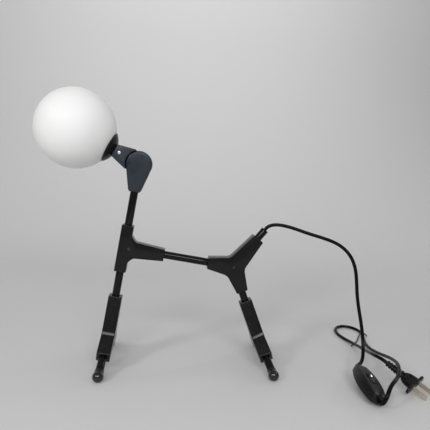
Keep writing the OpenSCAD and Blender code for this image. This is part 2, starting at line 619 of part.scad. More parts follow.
// Cord switch: base, cover, rocker on its pin, contacts and screws
rocker_fit = 0.4;
rocker_pin_d = 2;
rocker_pin_up = 3.8;
ear_t = 1.6;
ear_r = 2.1;
rocker_drop = 3;
rocker_proud = 2;
switch_screw_d = 2.4;
switch_screw_x = 20;
switch_head_h = 0.6;
post_r = 2.4;
screw_face = switch_rise(switch_screw_x + switch_screw_d);
screw_top = switch_rise(switch_screw_x + post_r) - switch_wall;
module switch_block(inset) intersection() {
    translate([0, 0, -switch_h]) linear_extrude(2 * switch_h) polygon(switch_plan(inset));
    plate(-switch_w, switch_w) polygon(switch_side(inset));
}
// Half of the block, the base at side -1 and the cover at side 1
module switch_half_block(side) intersection() {
    switch_block(0);
    translate([-switch_len, -switch_w, side < 0 ? -switch_h : 0])
        cube([2 * switch_len, 2 * switch_w, switch_h]);
}
module switch_posts() for (s = [-1, 1])
    translate([s * switch_screw_x, 0, -switch_h]) cylinder(r = post_r, h = 2 * switch_h);
module switch_base() color([0.09, 0.09, 0.09]) at_switch() difference() {
    switch_half_block(-1);
    difference() {
        switch_block(switch_wall);
        switch_posts();
    }
    for (s = [-1, 1]) translate([s * switch_screw_x, 0, -switch_h]) {
        cylinder(d = switch_screw_d + 2 * seat_gap, h = 2 * switch_h);
        cylinder(d = 2 * switch_screw_d + seat_gap, h = switch_h - screw_face + switch_head_h + seat_gap);
    }
}
module rocker_ears() for (s = [-1, 1])
    translate([0, s * (rocker_w / 2 + rocker_fit + ear_t / 2), 0]) {
        translate([0, 0, rocker_pin_up]) pin_y(ear_r, -ear_t / 2, ear_t / 2);
        translate([-ear_r, -ear_t / 2, rocker_pin_up]) cube([2 * ear_r, ear_t, switch_h]);
    }
module switch_cover() color([0.09, 0.09, 0.09]) at_switch() difference() {
    switch_half_block(1);
    difference() {
        switch_block(switch_wall);
        switch_posts();
        rocker_ears();
    }
    window = [rocker_len + 2 * rocker_fit, rocker_w + 2 * rocker_fit];
    translate([-window[0] / 2, -window[1] / 2, 0]) cube([window[0], window[1], switch_h]);
    translate([0, 0, rocker_pin_up])
        pin_y(rocker_pin_d / 2 + screw_fit, -pin_half - seat_gap, pin_half + seat_gap);
    for (s = [-1, 1]) translate([s * switch_screw_x, 0, -switch_h])
        cylinder(d = switch_screw_d + 2 * screw_fit, h = switch_h + screw_top);
}
module switch_screws() color([0.7, 0.7, 0.7]) at_switch() for (s = [-1, 1])
    translate([s * switch_screw_x, 0, -screw_face]) {
        cylinder(d = 2 * switch_screw_d, h = switch_head_h);
        cylinder(d = switch_screw_d, h = screw_face + screw_top - seat_gap);
    }
rocker_top = switch_h / 2 + rocker_proud - rocker_pin_up;
rocker_half = rocker_len / 2;
// The ends slant inwards so that they clear the window when the rocker tips
rocker_slant = rocker_top * tan(rocker_tilt);
rocker_side = [[-rocker_half, -rocker_drop], [rocker_half, -rocker_drop], [rocker_half, 0],
    [rocker_half - rocker_slant, rocker_top], [0, rocker_top - rocker_half * tan(rocker_tilt)],
    [rocker_slant - rocker_half, rocker_top], [-rocker_half, 0]];
module switch_rocker() color([0.06, 0.06, 0.06])
    at_switch() translate([0, 0, rocker_pin_up]) rotate([0, rocker_tilt, 0]) difference() {
        plate(-rocker_w / 2, rocker_w / 2) polygon(rocker_side);
        pin_y(rocker_pin_d / 2 + tube_fit, -rocker_w, rocker_w);
    }
pin_half = rocker_w / 2 + rocker_fit + ear_t;
module rocker_pin() color([0.7, 0.7, 0.7])
    at_switch() translate([0, 0, rocker_pin_up]) pin_y(rocker_pin_d / 2, -pin_half, pin_half);
contact_len = 9;
contact_at = 8.5;
contact_w = 5;
contact_t = 0.8;
contact_up = switch_wall + seat_gap - switch_rise(contact_at + contact_len / 2);
module switch_contacts() color([0.8, 0.65, 0.3]) at_switch() for (s = [-1, 1])
    translate([s * contact_at - contact_len / 2, -contact_w / 2, contact_up])
        cube([contact_len, contact_w, contact_t]);

// Plug: ribbed sleeve, body and finger guard in one moulding, with two flat pins
relief_thin = cord_r + 1.6;
relief_thick = cord_r + 2.9;
rib_count = 6;
rib_deep = 1;
rib_pitch = relief_len / rib_count;
function relief_r(x) = relief_thin + (relief_thick - relief_thin) * x / relief_len;
relief_profile = concat([[0, 0]],
    [for (i = [0:rib_count - 1], k = [0:3])
        let (x = (i + k / 4 + (k == 0 ? 0 : 0.02)) * rib_pitch)
        [relief_r(x) - (k < 2 ? 0 : rib_deep), x]],
    [[relief_thick, relief_len], [0, relief_len]]);
module stadium(w, h) {
    square([w - h, h], center = true);
    for (s = [-1, 1]) translate([s * (w - h) / 2, 0]) circle(d = h);
}
module plug_body() color([0.04, 0.04, 0.04]) at_plug() difference() {
    rotate([0, 90, 0]) rotate([0, 0, 90]) {
        rotate_extrude() polygon(relief_profile);
        translate([0, 0, relief_len]) linear_extrude(plug_len) stadium(body_w, body_h);
        translate([0, 0, guard_at - guard_t]) linear_extrude(guard_t) stadium(guard_w, guard_h);
    }
    plug_pin_blades(seat_gap / 2);
}
module plug_pin_blades(grow) for (s = [-1, 1])
    translate([guard_at - pin_in - grow, s * pin_pitch / 2 - pin_t / 2 - grow, -pin_w / 2 - grow])
        cube([pin_in + pin_len + 2 * grow, pin_t + 2 * grow, pin_w + 2 * grow]);
module plug_pins() color([0.75, 0.68, 0.5]) at_plug() plug_pin_blades(0);

globe_shade();
shade_cap();
lamp_holder();
bulb();
holder_nipple();
nipple_nut();
head_knuckle();
knuckle_grub_screw();
head_lead();
joint_housing();
pivot_bolt();
pivot_nut();
friction_washer();
spring_washer();
housing_grub_screw();
neck_tube();
shoulder_near_shell();
shoulder_far_shell();
shoulder_screw();
body_tube();
hip_near_shell();
hip_far_shell();
hip_screw();
tail_tube();
tail_bush();
body_lead();
front_leg_tube();
front_fork_fore_shell();
front_fork_aft_shell();
front_fork_screw();
front_near_foot_tube();
front_far_foot_tube();
front_near_ball();
front_far_ball();
rear_leg_tube();
rear_fork_fore_shell();
rear_fork_aft_shell();
rear_fork_screw();
rear_near_foot_tube();
rear_far_foot_tube();
rear_near_ball();
rear_far_ball();
cord_to_switch();
cord_to_plug();
cord_tie();
switch_base();
switch_cover();
switch_screws();
switch_rocker();
rocker_pin();
switch_contacts();
plug_body();
plug_pins();
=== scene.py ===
from math import atan, cos, pi, radians, sin, sqrt, tan

import bmesh
import bpy
from mathutils import Matrix, Vector


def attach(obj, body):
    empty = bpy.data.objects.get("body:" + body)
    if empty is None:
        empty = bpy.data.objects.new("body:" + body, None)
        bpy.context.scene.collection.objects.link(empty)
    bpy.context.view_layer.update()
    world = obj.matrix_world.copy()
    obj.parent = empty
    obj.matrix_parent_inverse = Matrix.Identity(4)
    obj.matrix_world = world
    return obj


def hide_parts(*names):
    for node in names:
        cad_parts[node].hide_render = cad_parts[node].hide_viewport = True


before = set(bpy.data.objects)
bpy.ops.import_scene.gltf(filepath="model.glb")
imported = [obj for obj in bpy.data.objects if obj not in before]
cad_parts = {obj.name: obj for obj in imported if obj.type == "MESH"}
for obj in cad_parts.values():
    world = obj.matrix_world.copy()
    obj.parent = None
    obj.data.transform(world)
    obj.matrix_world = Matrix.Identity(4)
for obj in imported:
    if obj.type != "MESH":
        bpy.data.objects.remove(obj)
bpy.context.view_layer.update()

print("stage: frame loaded,", len(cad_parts), "nodes")
mm = 0.001
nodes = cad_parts
close = 1e-5  # metres: points nearer than this are one place
cutOver = 1.0  # millimetres that a cutter stands out of the face it cuts

# places of the lamp, the same as the solids, in millimetres
lamp = {
    "slope": 8.71831, "headLift": 27.5, "rearLean": 30.0,
    "tee": (-43.2529, 0, 154.023), "joint": (-26.6553, 0, 262.257), "hip": (100.072, 0, 132.044),
    "frontFork": (-61.2148, 0, 36.8918), "rearFork": (137.819, 0, 35.136),
    "tubeR": 5.0, "socketR": 5.05, "socketDepth": 13.0,
}


def turnX(a): return Matrix.Rotation(radians(a), 4, "X")
def turnY(a): return Matrix.Rotation(radians(a), 4, "Y")
def turnZ(a): return Matrix.Rotation(radians(a), 4, "Z")
def moveTo(p): return Matrix.Translation(Vector(p) * mm)


# flat work on the floor is stood up: its Y becomes up, its Z becomes the near side
upright = turnX(90)
teeFrame = moveTo(lamp["tee"]) @ turnY(lamp["slope"])
hipFrame = moveTo(lamp["hip"]) @ turnY(lamp["slope"])
tailFrame = hipFrame @ turnY(30)  # its Z runs out along the tail arm
jointFrame = moveTo(lamp["joint"]) @ turnY(lamp["slope"])
headFrame = moveTo(lamp["joint"]) @ turnY(lamp["headLift"] - 90)
frontForkFrame = moveTo(lamp["frontFork"]) @ turnY(lamp["slope"])
rearForkFrame = moveTo(lamp["rearFork"]) @ turnY(lamp["slope"] - lamp["rearLean"])

# camera where the photo was taken from
cameraSpec = {"yaw": 6.033, "pitch": 5.492, "roll": 2.355, "place": (12.863, -567.054, 255.072),
              "focalPixels": 436.97, "imagePixels": 430, "sensor": 36.0}
yaw, pitch, roll = (radians(cameraSpec[k]) for k in ("yaw", "pitch", "roll"))
ahead = Vector((sin(yaw) * cos(pitch), cos(yaw) * cos(pitch), -sin(pitch)))
level = Vector((cos(yaw), -sin(yaw), 0))
above = Vector((sin(yaw) * sin(pitch), cos(yaw) * sin(pitch), cos(pitch)))
rightWay = cos(roll) * level + sin(roll) * above
upWay = cos(roll) * above - sin(roll) * level
cameraData = bpy.data.cameras.new("photoCamera")
cameraData.sensor_width = cameraSpec["sensor"]
cameraData.lens = cameraSpec["focalPixels"] / cameraSpec["imagePixels"] * cameraSpec["sensor"]
cameraData.clip_start = 0.01
photoCamera = bpy.data.objects.new("photoCamera", cameraData)
bpy.context.collection.objects.link(photoCamera)
facing = Matrix((rightWay, upWay, -ahead)).transposed().to_4x4()
photoCamera.matrix_world = moveTo(cameraSpec["place"]) @ facing
bpy.context.scene.camera = photoCamera
print("stage: camera set, lens", round(cameraData.lens, 2))


# small tools for working by hand in edit mode
def clearPick():
    active = bpy.context.view_layer.objects.active
    if active and active.mode != "OBJECT":
        bpy.ops.object.mode_set(mode="OBJECT")
    bpy.ops.object.select_all(action="DESELECT")


def holdPiece(piece):
    clearPick()
    piece.select_set(True)
    bpy.context.view_layer.objects.active = piece


def startEdit(piece, kind="FACE"):
    holdPiece(piece)
    bpy.ops.object.mode_set(mode="EDIT")
    bpy.ops.mesh.select_mode(type=kind)
    bpy.ops.mesh.select_all(action="DESELECT")


def endEdit():
    bpy.ops.object.mode_set(mode="OBJECT")


def middle(part):
    spots = [v.co for v in part.verts]
    return sum(spots, Vector()) / len(spots)


def pick(piece, kind, test):
    bpy.ops.mesh.select_mode(type={"verts": "VERT", "edges": "EDGE", "faces": "FACE"}[kind])
    bpy.ops.mesh.select_all(action="DESELECT")
    shape = bmesh.from_edit_mesh(piece.data)
    for part in getattr(shape, kind):
        if test(part):
            part.select_set(True)
    shape.select_flush_mode()
    bmesh.update_edit_mesh(piece.data)


def pickSharp(angle):
    bpy.ops.mesh.select_mode(type="EDGE")
    bpy.ops.mesh.select_all(action="DESELECT")
    bpy.ops.mesh.edges_select_sharp(sharpness=radians(angle))


def leaveOut(piece, test):
    shape = bmesh.from_edit_mesh(piece.data)
    for e in shape.edges:
        if e.select and test(e):
            e.select_set(False)
    bmesh.update_edit_mesh(piece.data)


def flatEdge(height, slack=close):
    return lambda e: all(abs(v.co.z - height) < slack for v in e.verts)


def faceTowards(way, least=0.99):
    way = Vector(way).normalized()
    return lambda f: f.normal.dot(way) > least


def pull(z):
    bpy.ops.mesh.extrude_region_move(TRANSFORM_OT_translate={"value": (0, 0, z * mm)})


def pullEdge(way):
    bpy.ops.mesh.extrude_edges_move(TRANSFORM_OT_translate={"value": way})


def roundEdges(width, steps=3):
    bpy.ops.mesh.bevel(offset=width * mm, segments=steps, profile=0.5, affect="EDGES", clamp_overlap=True)


def slicePiece(at, way, **how):
    bpy.ops.mesh.select_all(action="SELECT")
    bpy.ops.mesh.bisect(plane_co=at, plane_no=way, **how)


def outward():
    bpy.ops.mesh.select_all(action="SELECT")
    bpy.ops.mesh.remove_doubles(threshold=1e-6)
    bpy.ops.mesh.normals_make_consistent(inside=False)


def bakePlace(piece, place=None):
    holdPiece(piece)
    if place is not None:
        piece.matrix_world = place @ piece.matrix_world
    bpy.ops.object.transform_apply(location=True, rotation=True, scale=True)
    return piece


def addCylinder(radius, depth, at=(0, 0, 0), way=(0, 0, 1), sides=48):
    clearPick()
    bpy.ops.mesh.primitive_cylinder_add(vertices=sides, radius=radius * mm, depth=depth * mm,
                                        end_fill_type="NGON")
    piece = bpy.context.object
    piece.matrix_world = moveTo(at) @ Vector(way).to_track_quat("Z", "Y").to_matrix().to_4x4()
    return bakePlace(piece)


def addBall(radius, up=0, segments=64, rings=32):
    clearPick()
    bpy.ops.mesh.primitive_uv_sphere_add(segments=segments, ring_count=rings, radius=radius * mm,
                                         location=(0, 0, up * mm))
    return bakePlace(bpy.context.object)


def addBox(size, at=(0, 0, 0)):
    clearPick()
    bpy.ops.mesh.primitive_cube_add(size=1)
    piece = bpy.context.object
    piece.scale = Vector(size) * mm
    piece.location = Vector(at) * mm
    return bakePlace(piece)


def carve(piece, cutter, action="DIFFERENCE"):
    holdPiece(piece)
    step = piece.modifiers.new("carve", "BOOLEAN")
    step.operation, step.solver, step.object = action, "EXACT", cutter
    bpy.ops.object.modifier_apply(modifier=step.name)
    bpy.data.objects.remove(cutter)
    return piece


def giveWall(piece, thick):
    holdPiece(piece)
    step = piece.modifiers.new("wall", "SOLIDIFY")
    step.thickness, step.offset = thick * mm, -1
    bpy.ops.object.modifier_apply(modifier=step.name)
    return piece


def addOn(piece, *more):
    clearPick()
    for other in more:
        other.select_set(True)
    piece.select_set(True)
    bpy.context.view_layer.objects.active = piece
    bpy.ops.object.join()
    return piece


def copyPiece(piece, place):
    other = piece.copy()
    other.data = piece.data.copy()
    bpy.context.collection.objects.link(other)
    return bakePlace(other, place)


def finishPiece(piece, name, body, finish, stands, smooth=35):
    holdPiece(piece)
    piece.name = piece.data.name = name
    bpy.ops.object.shade_smooth_by_angle(angle=radians(smooth))
    piece.data.materials.clear()
    piece.data.materials.append(finish)
    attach(piece, body)
    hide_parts(*stands)


# shared effects as node groups
def newGroup(name, inputs, outputs):
    group = bpy.data.node_groups.new(name, "ShaderNodeTree")
    for label, kind, value in inputs:
        socket = group.interface.new_socket(label, in_out="INPUT", socket_type="NodeSocket" + kind)
        socket.default_value = value
    for label, kind in outputs:
        group.interface.new_socket(label, in_out="OUTPUT", socket_type="NodeSocket" + kind)
    return group, group.nodes.new("NodeGroupInput"), group.nodes.new("NodeGroupOutput")


def addNode(tree, kind, values=None, **settings):
    node = tree.nodes.new("ShaderNode" + kind)
    for key, value in settings.items():
        setattr(node, key, value)
    for key, value in (values or {}).items():
        node.inputs[key].default_value = value
    return node


def join(tree, fromNode, fromSocket, toNode, toSocket):
    tree.links.new(fromNode.outputs[fromSocket], toNode.inputs[toSocket])


# moulded skin: a fine pebbled height, a slow drift of tone and a patchy gloss
def mouldedSkinGroup():
    tree, into, out = newGroup(
        "mouldedSkin",
        [("Colour", "Color", (0.02, 0.02, 0.02, 1)), ("Pale Colour", "Color", (0.04, 0.04, 0.04, 1)),
         ("Pebble Scale", "Float", 1800.0), ("Drift", "Float", 0.4), ("Rough Low", "Float", 0.4),
         ("Rough High", "Float", 0.6)],
        [("Colour", "Color"), ("Roughness", "Float"), ("Height", "Float")])
    place = addNode(tree, "TexCoord")
    pebble = addNode(tree, "TexNoise", {"Detail": 3.0, "Roughness": 0.55})
    join(tree, place, "Object", pebble, "Vector")
    join(tree, into, "Pebble Scale", pebble, "Scale")
    cells = addNode(tree, "TexVoronoi")
    join(tree, place, "Object", cells, "Vector")
    join(tree, into, "Pebble Scale", cells, "Scale")
    height = addNode(tree, "Math", {1: 0.6}, operation="MULTIPLY_ADD")
    join(tree, cells, "Distance", height, 0)
    join(tree, pebble, "Fac", height, 2)
    drift = addNode(tree, "TexNoise", {"Scale": 38.0, "Detail": 4.0, "Roughness": 0.6})
    join(tree, place, "Object", drift, "Vector")
    spread = addNode(tree, "MapRange", {"From Min": 0.3, "From Max": 0.7})
    join(tree, drift, "Fac", spread, "Value")
    tone = addNode(tree, "Math", operation="MULTIPLY")
    join(tree, spread, "Result", tone, 0)
    join(tree, into, "Drift", tone, 1)
    shade = addNode(tree, "Mix", data_type="RGBA")
    join(tree, tone, "Value", shade, 0)
    tree.links.new(into.outputs["Colour"], shade.inputs[6])
    tree.links.new(into.outputs["Pale Colour"], shade.inputs[7])
    tree.links.new(shade.outputs[2], out.inputs["Colour"])
    gloss = addNode(tree, "MapRange", {"From Min": 0.3, "From Max": 0.7})
    patch = addNode(tree, "TexNoise", {"Scale": 120.0, "Detail": 5.0, "Roughness": 0.65})
    join(tree, place, "Object", patch, "Vector")
    join(tree, patch, "Fac", gloss, "Value")
    join(tree, into, "Rough Low", gloss, "To Min")
    join(tree, into, "Rough High", gloss, "To Max")
    join(tree, gloss, "Result", out, "Roughness")
    join(tree, height, "Value", out, "Height")
    return tree


# rubbed edges and painted edge highlight: a paler colour on outer edges, broken up by noise; it stands partly
# for wear and partly for the highlight that rounded edges catch
def edgeRubAndHighlightGroup():
    tree, into, out = newGroup(
        "edgeRubAndHighlight",
        [("Colour", "Color", (0.02, 0.02, 0.02, 1)), ("Rub And Highlight Colour", "Color", (0.1, 0.1, 0.1, 1)),
         ("Amount", "Float", 0.6)],
        [("Colour", "Color")])
    bends = addNode(tree, "NewGeometry")
    place = addNode(tree, "TexCoord")
    edge = addNode(tree, "MapRange", {"From Min": 0.52, "From Max": 0.62})
    join(tree, bends, "Pointiness", edge, "Value")
    breaks = addNode(tree, "TexNoise", {"Scale": 260.0, "Detail": 5.0})
    join(tree, place, "Object", breaks, "Vector")
    patchy = addNode(tree, "MapRange", {"From Min": 0.35, "From Max": 0.65, "To Min": 0.25, "To Max": 1.0})
    join(tree, breaks, "Fac", patchy, "Value")
    both = addNode(tree, "Math", operation="MULTIPLY")
    join(tree, edge, "Result", both, 0)
    join(tree, patchy, "Result", both, 1)
    mask = addNode(tree, "Math", operation="MULTIPLY")
    join(tree, both, "Value", mask, 0)
    join(tree, into, "Amount", mask, 1)
    # mix toward the paler colour on outer edges: wear and painted edge highlight
    shade = addNode(tree, "Mix", data_type="RGBA")
    join(tree, mask, "Value", shade, 0)
    tree.links.new(into.outputs["Colour"], shade.inputs[6])
    tree.links.new(into.outputs["Rub And Highlight Colour"], shade.inputs[7])
    tree.links.new(shade.outputs[2], out.inputs["Colour"])
    return tree


# fine scratches: a sharp, crumpled noise that dulls a gloss coat
def fineScratchGroup():
    tree, into, out = newGroup(
        "fineScratch",
        [("Scale", "Float", 400.0), ("Rough Low", "Float", 0.08), ("Rough High", "Float", 0.2)],
        [("Roughness", "Float"), ("Height", "Float")])
    place = addNode(tree, "TexCoord")
    lines = addNode(tree, "TexNoise", {"Detail": 6.0, "Roughness": 0.7})
    join(tree, place, "Object", lines, "Vector")
    join(tree, into, "Scale", lines, "Scale")
    gloss = addNode(tree, "MapRange", {"From Min": 0.35, "From Max": 0.75})
    join(tree, lines, "Fac", gloss, "Value")
    join(tree, into, "Rough Low", gloss, "To Min")
    join(tree, into, "Rough High", gloss, "To Max")
    join(tree, gloss, "Result", out, "Roughness")
    join(tree, lines, "Fac", out, "Height")
    return tree


mouldedSkin = mouldedSkinGroup()
edgeRubAndHighlight = edgeRubAndHighlightGroup()
fineScratch = fineScratchGroup()


def grey(v): return (v, v, v, 1)


def useGroup(tree, group, values):
    node = tree.nodes.new("ShaderNodeGroup")
    node.node_tree = group
    for key, value in values.items():
        node.inputs[key].default_value = value
    return node


def newFinish(name, **shader):
    finish = bpy.data.materials.new(name)
    finish.use_nodes = True
    skin = finish.node_tree.nodes["Principled BSDF"]
    for key, value in shader.items():
        skin.inputs[key.replace("_", " ")].default_value = value
    return finish, finish.node_tree, skin


def bumpInto(tree, skin, node, socket, strength, distance):
    bump = addNode(tree, "Bump", {"Strength": strength, "Distance": distance})
    join(tree, node, socket, bump, "Height")
    join(tree, bump, "Normal", skin, "Normal")


pebbleDeep, scratchDeep = 0.06 * mm, 0.04 * mm


# moulded plastic: skin group, then rubbed edges with painted edge highlight over its colour
def mouldedPlastic(name, colour, pale, rubAndHighlight, rubAndHighlightAmount, rough, pebbles, bump, drift=0.4, **shader):
    finish, tree, skin = newFinish(name, **shader)
    base = useGroup(tree, mouldedSkin, {"Colour": colour, "Pale Colour": pale, "Pebble Scale": pebbles,
                                        "Drift": drift, "Rough Low": rough[0], "Rough High": rough[1]})
    # paler outer edges: partly wear, partly painted highlight
    edgeWearAndHighlight = useGroup(tree, edgeRubAndHighlight, {"Rub And Highlight Colour": rubAndHighlight, "Amount": rubAndHighlightAmount})
    join(tree, base, "Colour", edgeWearAndHighlight, "Colour")
    join(tree, edgeWearAndHighlight, "Colour", skin, "Base Color")
    join(tree, base, "Roughness", skin, "Roughness")
    bumpInto(tree, skin, base, "Height", bump, pebbleDeep)
    return finish


# gloss coat: a colour that drifts a little, under fine scratches
def glossCoat(name, colour, scale, rough, bump, **shader):
    finish, tree, skin = newFinish(name, **shader)
    pale = tuple(min(1, 1.6 * c) for c in colour[:3]) + (1,)
    base = useGroup(tree, mouldedSkin, {"Colour": colour, "Pale Colour": pale, "Pebble Scale": 900.0,
                                        "Drift": 0.5})
    lines = useGroup(tree, fineScratch, {"Scale": scale, "Rough Low": rough[0], "Rough High": rough[1]})
    join(tree, base, "Colour", skin, "Base Color")
    join(tree, lines, "Roughness", skin, "Roughness")
    bumpInto(tree, skin, lines, "Height", bump, scratchDeep)
    return finish


connectorPlastic = mouldedPlastic(
    "connectorPlastic", grey(0.0015), grey(0.003), rubAndHighlight=grey(0.05), rubAndHighlightAmount=0.5, rough=(0.17, 0.23),
    pebbles=2200.0, bump=0.06, Specular_IOR_Level=0.29)
# the joint plastic's pale rims are mostly painted highlight on its rounded edges, with some wear
jointPlastic = mouldedPlastic(
    "jointPlastic", (0.007, 0.011, 0.018, 1), (0.03, 0.038, 0.053, 1), rubAndHighlight=(0.09, 0.1, 0.125, 1), rubAndHighlightAmount=0.75,
    rough=(0.26, 0.42), pebbles=2400.0, bump=0.12, drift=0.9, Specular_IOR_Level=0.34)
switchPlastic = mouldedPlastic(
    "switchPlastic", grey(0.003), grey(0.006), rubAndHighlight=grey(0.05), rubAndHighlightAmount=0.4, rough=(0.26, 0.38),
    pebbles=2000.0, bump=0.15, Specular_IOR_Level=0.28)
rockerPlastic = glossCoat("rockerPlastic", grey(0.004), scale=500.0, rough=(0.08, 0.16), bump=0.04,
                          Specular_IOR_Level=0.6)
# the plug's pale lines on ribs and edges are painted highlight, with some wear
plugVinyl = mouldedPlastic(
    "plugVinyl", grey(0.003), grey(0.006), rubAndHighlight=grey(0.05), rubAndHighlightAmount=0.35, rough=(0.22, 0.32),
    pebbles=1500.0, bump=0.12, Specular_IOR_Level=0.32)
footPlastic = glossCoat("footPlastic", grey(0.004), scale=700.0, rough=(0.08, 0.14), bump=0.03,
                        Specular_IOR_Level=0.7)
tubePaint = glossCoat("tubePaint", grey(0.002), scale=500.0, rough=(0.08, 0.15), bump=0.03,
                      Specular_IOR_Level=0.3, IOR=1.36, Coat_Weight=0.15, Coat_Roughness=0.05)
cordVinyl = glossCoat("cordVinyl", grey(0.004), scale=420.0, rough=(0.1, 0.18), bump=0.05,
                      Specular_IOR_Level=0.3, IOR=1.25)
capEnamel = glossCoat("capEnamel", grey(0.003), scale=600.0, rough=(0.26, 0.38), bump=0.05,
                      Specular_IOR_Level=0.3)
zincSteel = glossCoat("zincSteel", grey(0.78), scale=900.0, rough=(0.22, 0.4), bump=0.1, Metallic=1.0)
darkSteel = glossCoat("darkSteel", grey(0.06), scale=900.0, rough=(0.32, 0.5), bump=0.1, Metallic=1.0)
nickelPin = glossCoat("nickelPin", (0.6, 0.53, 0.43, 1), scale=900.0, rough=(0.22, 0.38), bump=0.08,
                      Metallic=1.0)
contactBrass = glossCoat("contactBrass", (0.75, 0.52, 0.2, 1), scale=900.0, rough=(0.2, 0.4), bump=0.08,
                         Metallic=1.0)
holderCeramic = glossCoat("holderCeramic", (0.8, 0.78, 0.72, 1), scale=300.0, rough=(0.12, 0.22), bump=0.03)
bulbFrost = glossCoat("bulbFrost", (0.9, 0.89, 0.84, 1), scale=900.0, rough=(0.4, 0.55), bump=0.05)
washerFibre = mouldedPlastic(
    "washerFibre", (0.42, 0.35, 0.24, 1), (0.5, 0.42, 0.3, 1), rubAndHighlight=(0.55, 0.47, 0.34, 1), rubAndHighlightAmount=0.3,
    rough=(0.7, 0.85), pebbles=1500.0, bump=0.4)
tieVinyl = mouldedPlastic(
    "tieVinyl", (0.06, 0.063, 0.045, 1), (0.08, 0.084, 0.06, 1), rubAndHighlight=(0.12, 0.125, 0.1, 1), rubAndHighlightAmount=0.3,
    rough=(0.5, 0.65), pebbles=1500.0, bump=0.15)


# opal glass: milky white, a trace of cream that drifts slowly, a satin skin
def opalGlassFinish():
    finish, tree, skin = newFinish("opalGlass", Specular_IOR_Level=0.35, Subsurface_Weight=0.3,
                                   Subsurface_Radius=(1.0, 0.95, 0.85), Subsurface_Scale=0.006)
    base = useGroup(tree, mouldedSkin, {
        "Colour": (0.87, 0.87, 0.855, 1), "Pale Colour": (0.885, 0.885, 0.875, 1), "Pebble Scale": 60.0,
        "Drift": 0.8, "Rough Low": 0.42, "Rough High": 0.5})
    join(tree, base, "Colour", skin, "Base Color")
    join(tree, base, "Roughness", skin, "Roughness")
    return finish


opalGlass = opalGlassFinish()
print("stage: finishes made,", len(bpy.data.materials))

# cords along the same points as their solids
cordSpec = {
    "diameter": 4.6,
    "toSwitch": [(140.416, 0, 182.369), (143.231, 0, 185.88), (149.3, -0.4, 188.8), (157.3, -1.3, 189.7),
                 (170, -3, 188), (182.6, -4.8, 184.7), (195.2, -6.7, 180.8), (208, -8.6, 177.3),
                 (220.6, -10.6, 173.8), (232.8, -12.7, 169.4), (243.9, -14.8, 162.9), (252.8, -16.8, 153.7),
                 (258.8, -18.4, 142.2), (262, -19.5, 129.6), (263.6, -20.2, 116.6), (265, -20.6, 103.3),
                 (267.1, -21.1, 90.1), (269.7, -21.9, 77), (272.2, -23.3, 64), (273.7, -26.1, 51),
                 (273.5, -30.7, 38.6), (271.2, -37.7, 27.8), (268.1, -43.3, 22.6), (263.8, -48.7, 19.9),
                 (259.1, -53.3, 19.4), (256.039, -58.74, 19.28), (255.893, -62.085, 18.69)],
    "toPlug": [(253.307, -121.315, 8.236), (253.161, -124.66, 7.646), (253.5, -128.7, 9.2),
               (254.5, -131.4, 12.8), (256.3, -131.8, 17.4), (259, -129.8, 21.8), (262.6, -126, 24.9),
               (267.3, -121.2, 26.9), (272.9, -115.9, 28), (278.7, -110.1, 28.7), (285, -102.3, 29.3),
               (293.9, -86.9, 29.6), (300.8, -70.4, 28.4), (305.5, -53.7, 25.3), (308.7, -36.7, 21.3),
               (310.8, -19.6, 16.8), (312.4, -2.4, 12.3), (314, 14.9, 8.4), (315.8, 32.5, 5.2),
               (318.6, 50, 3.3), (323, 67.4, 2.5), (328.9, 84.5, 2.4), (333.7, 102.1, 2.4),
               (331.9, 119.5, 2.6), (321.1, 130.7, 3), (307.3, 130.3, 3.1), (295.9, 118, 2.7),
               (292.1, 100.2, 2.4), (293.7, 82.1, 2.6), (296.4, 64.5, 3.9), (297.3, 47, 6.4),
               (296.1, 29.3, 9.9), (293.8, 11.9, 13.6), (291, -5.3, 17.7), (287.8, -22.2, 22.3),
               (285.5, -38.6, 26.4), (286.2, -49.8, 28), (289, -57.6, 27.5), (292.246, -62.124, 25.396)],
    "tie": [(295.4, 52, 1.2), (298.6, 54.6, 1.3), (302.6, 58.4, 1.5), (307.6, 64.4, 1.6), (313.5, 72, 1.5),
            (322.5, 87, 2), (327.4, 92.2, 4.6), (331.3, 91.7, 6.6), (335.2, 91.1, 4.6), (338.8, 92.7, 1.2)],
    "tieWidth": 2.0, "lengthToSwitch": 0.2895, "lengthToPlug": 0.5278,
}


def layCord(name, points, width, finish, stands):
    line = bpy.data.curves.new(name, "CURVE")
    line.dimensions = "3D"
    line.bevel_depth = width / 2 * mm
    line.bevel_resolution = 5
    line.resolution_u = 6
    line.use_fill_caps = True
    spline = line.splines.new("BEZIER")
    spline.bezier_points.add(len(points) - 1)
    for spot, p in zip(spline.bezier_points, points):
        spot.co = Vector(p) * mm
        spot.handle_left_type = spot.handle_right_type = "AUTO"
    cord = bpy.data.objects.new(name, line)
    bpy.context.collection.objects.link(cord)
    line.materials.append(finish)
    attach(cord, "frame")
    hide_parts(stands)
    return cord


cordToSwitch = layCord("tailCord", cordSpec["toSwitch"], cordSpec["diameter"], cordVinyl,
                       "cord_to_switch")
cordToPlug = layCord("plugCord", cordSpec["toPlug"], cordSpec["diameter"], cordVinyl,
                     "cord_to_plug")
layCord("cordTie", cordSpec["tie"], cordSpec["tieWidth"], tieVinyl, "cord_tie")
print("stage: cords laid")

# three way connectors: a triangle whose sides are drawn out into arms
connector = {"endWidth": 15.0, "halfThick": 8.5, "cornerReach": 14.0, "fillet": 8.0, "filletSteps": 8,
             "filletProfile": 0.36, "shortArm": 35.0, "tailArm": 50.0, "forkStem": 55.0, "edge": 0.9,
             "seam": 0.12, "screwHole": 2.8, "screwSink": 2.6, "smooth": 28}


def openSockets(piece, arms):
    deep = lamp["socketDepth"]
    for way, length in arms:
        carve(piece, addCylinder(lamp["socketR"], deep + cutOver, way * (length - (deep - cutOver) / 2), way))
    return piece


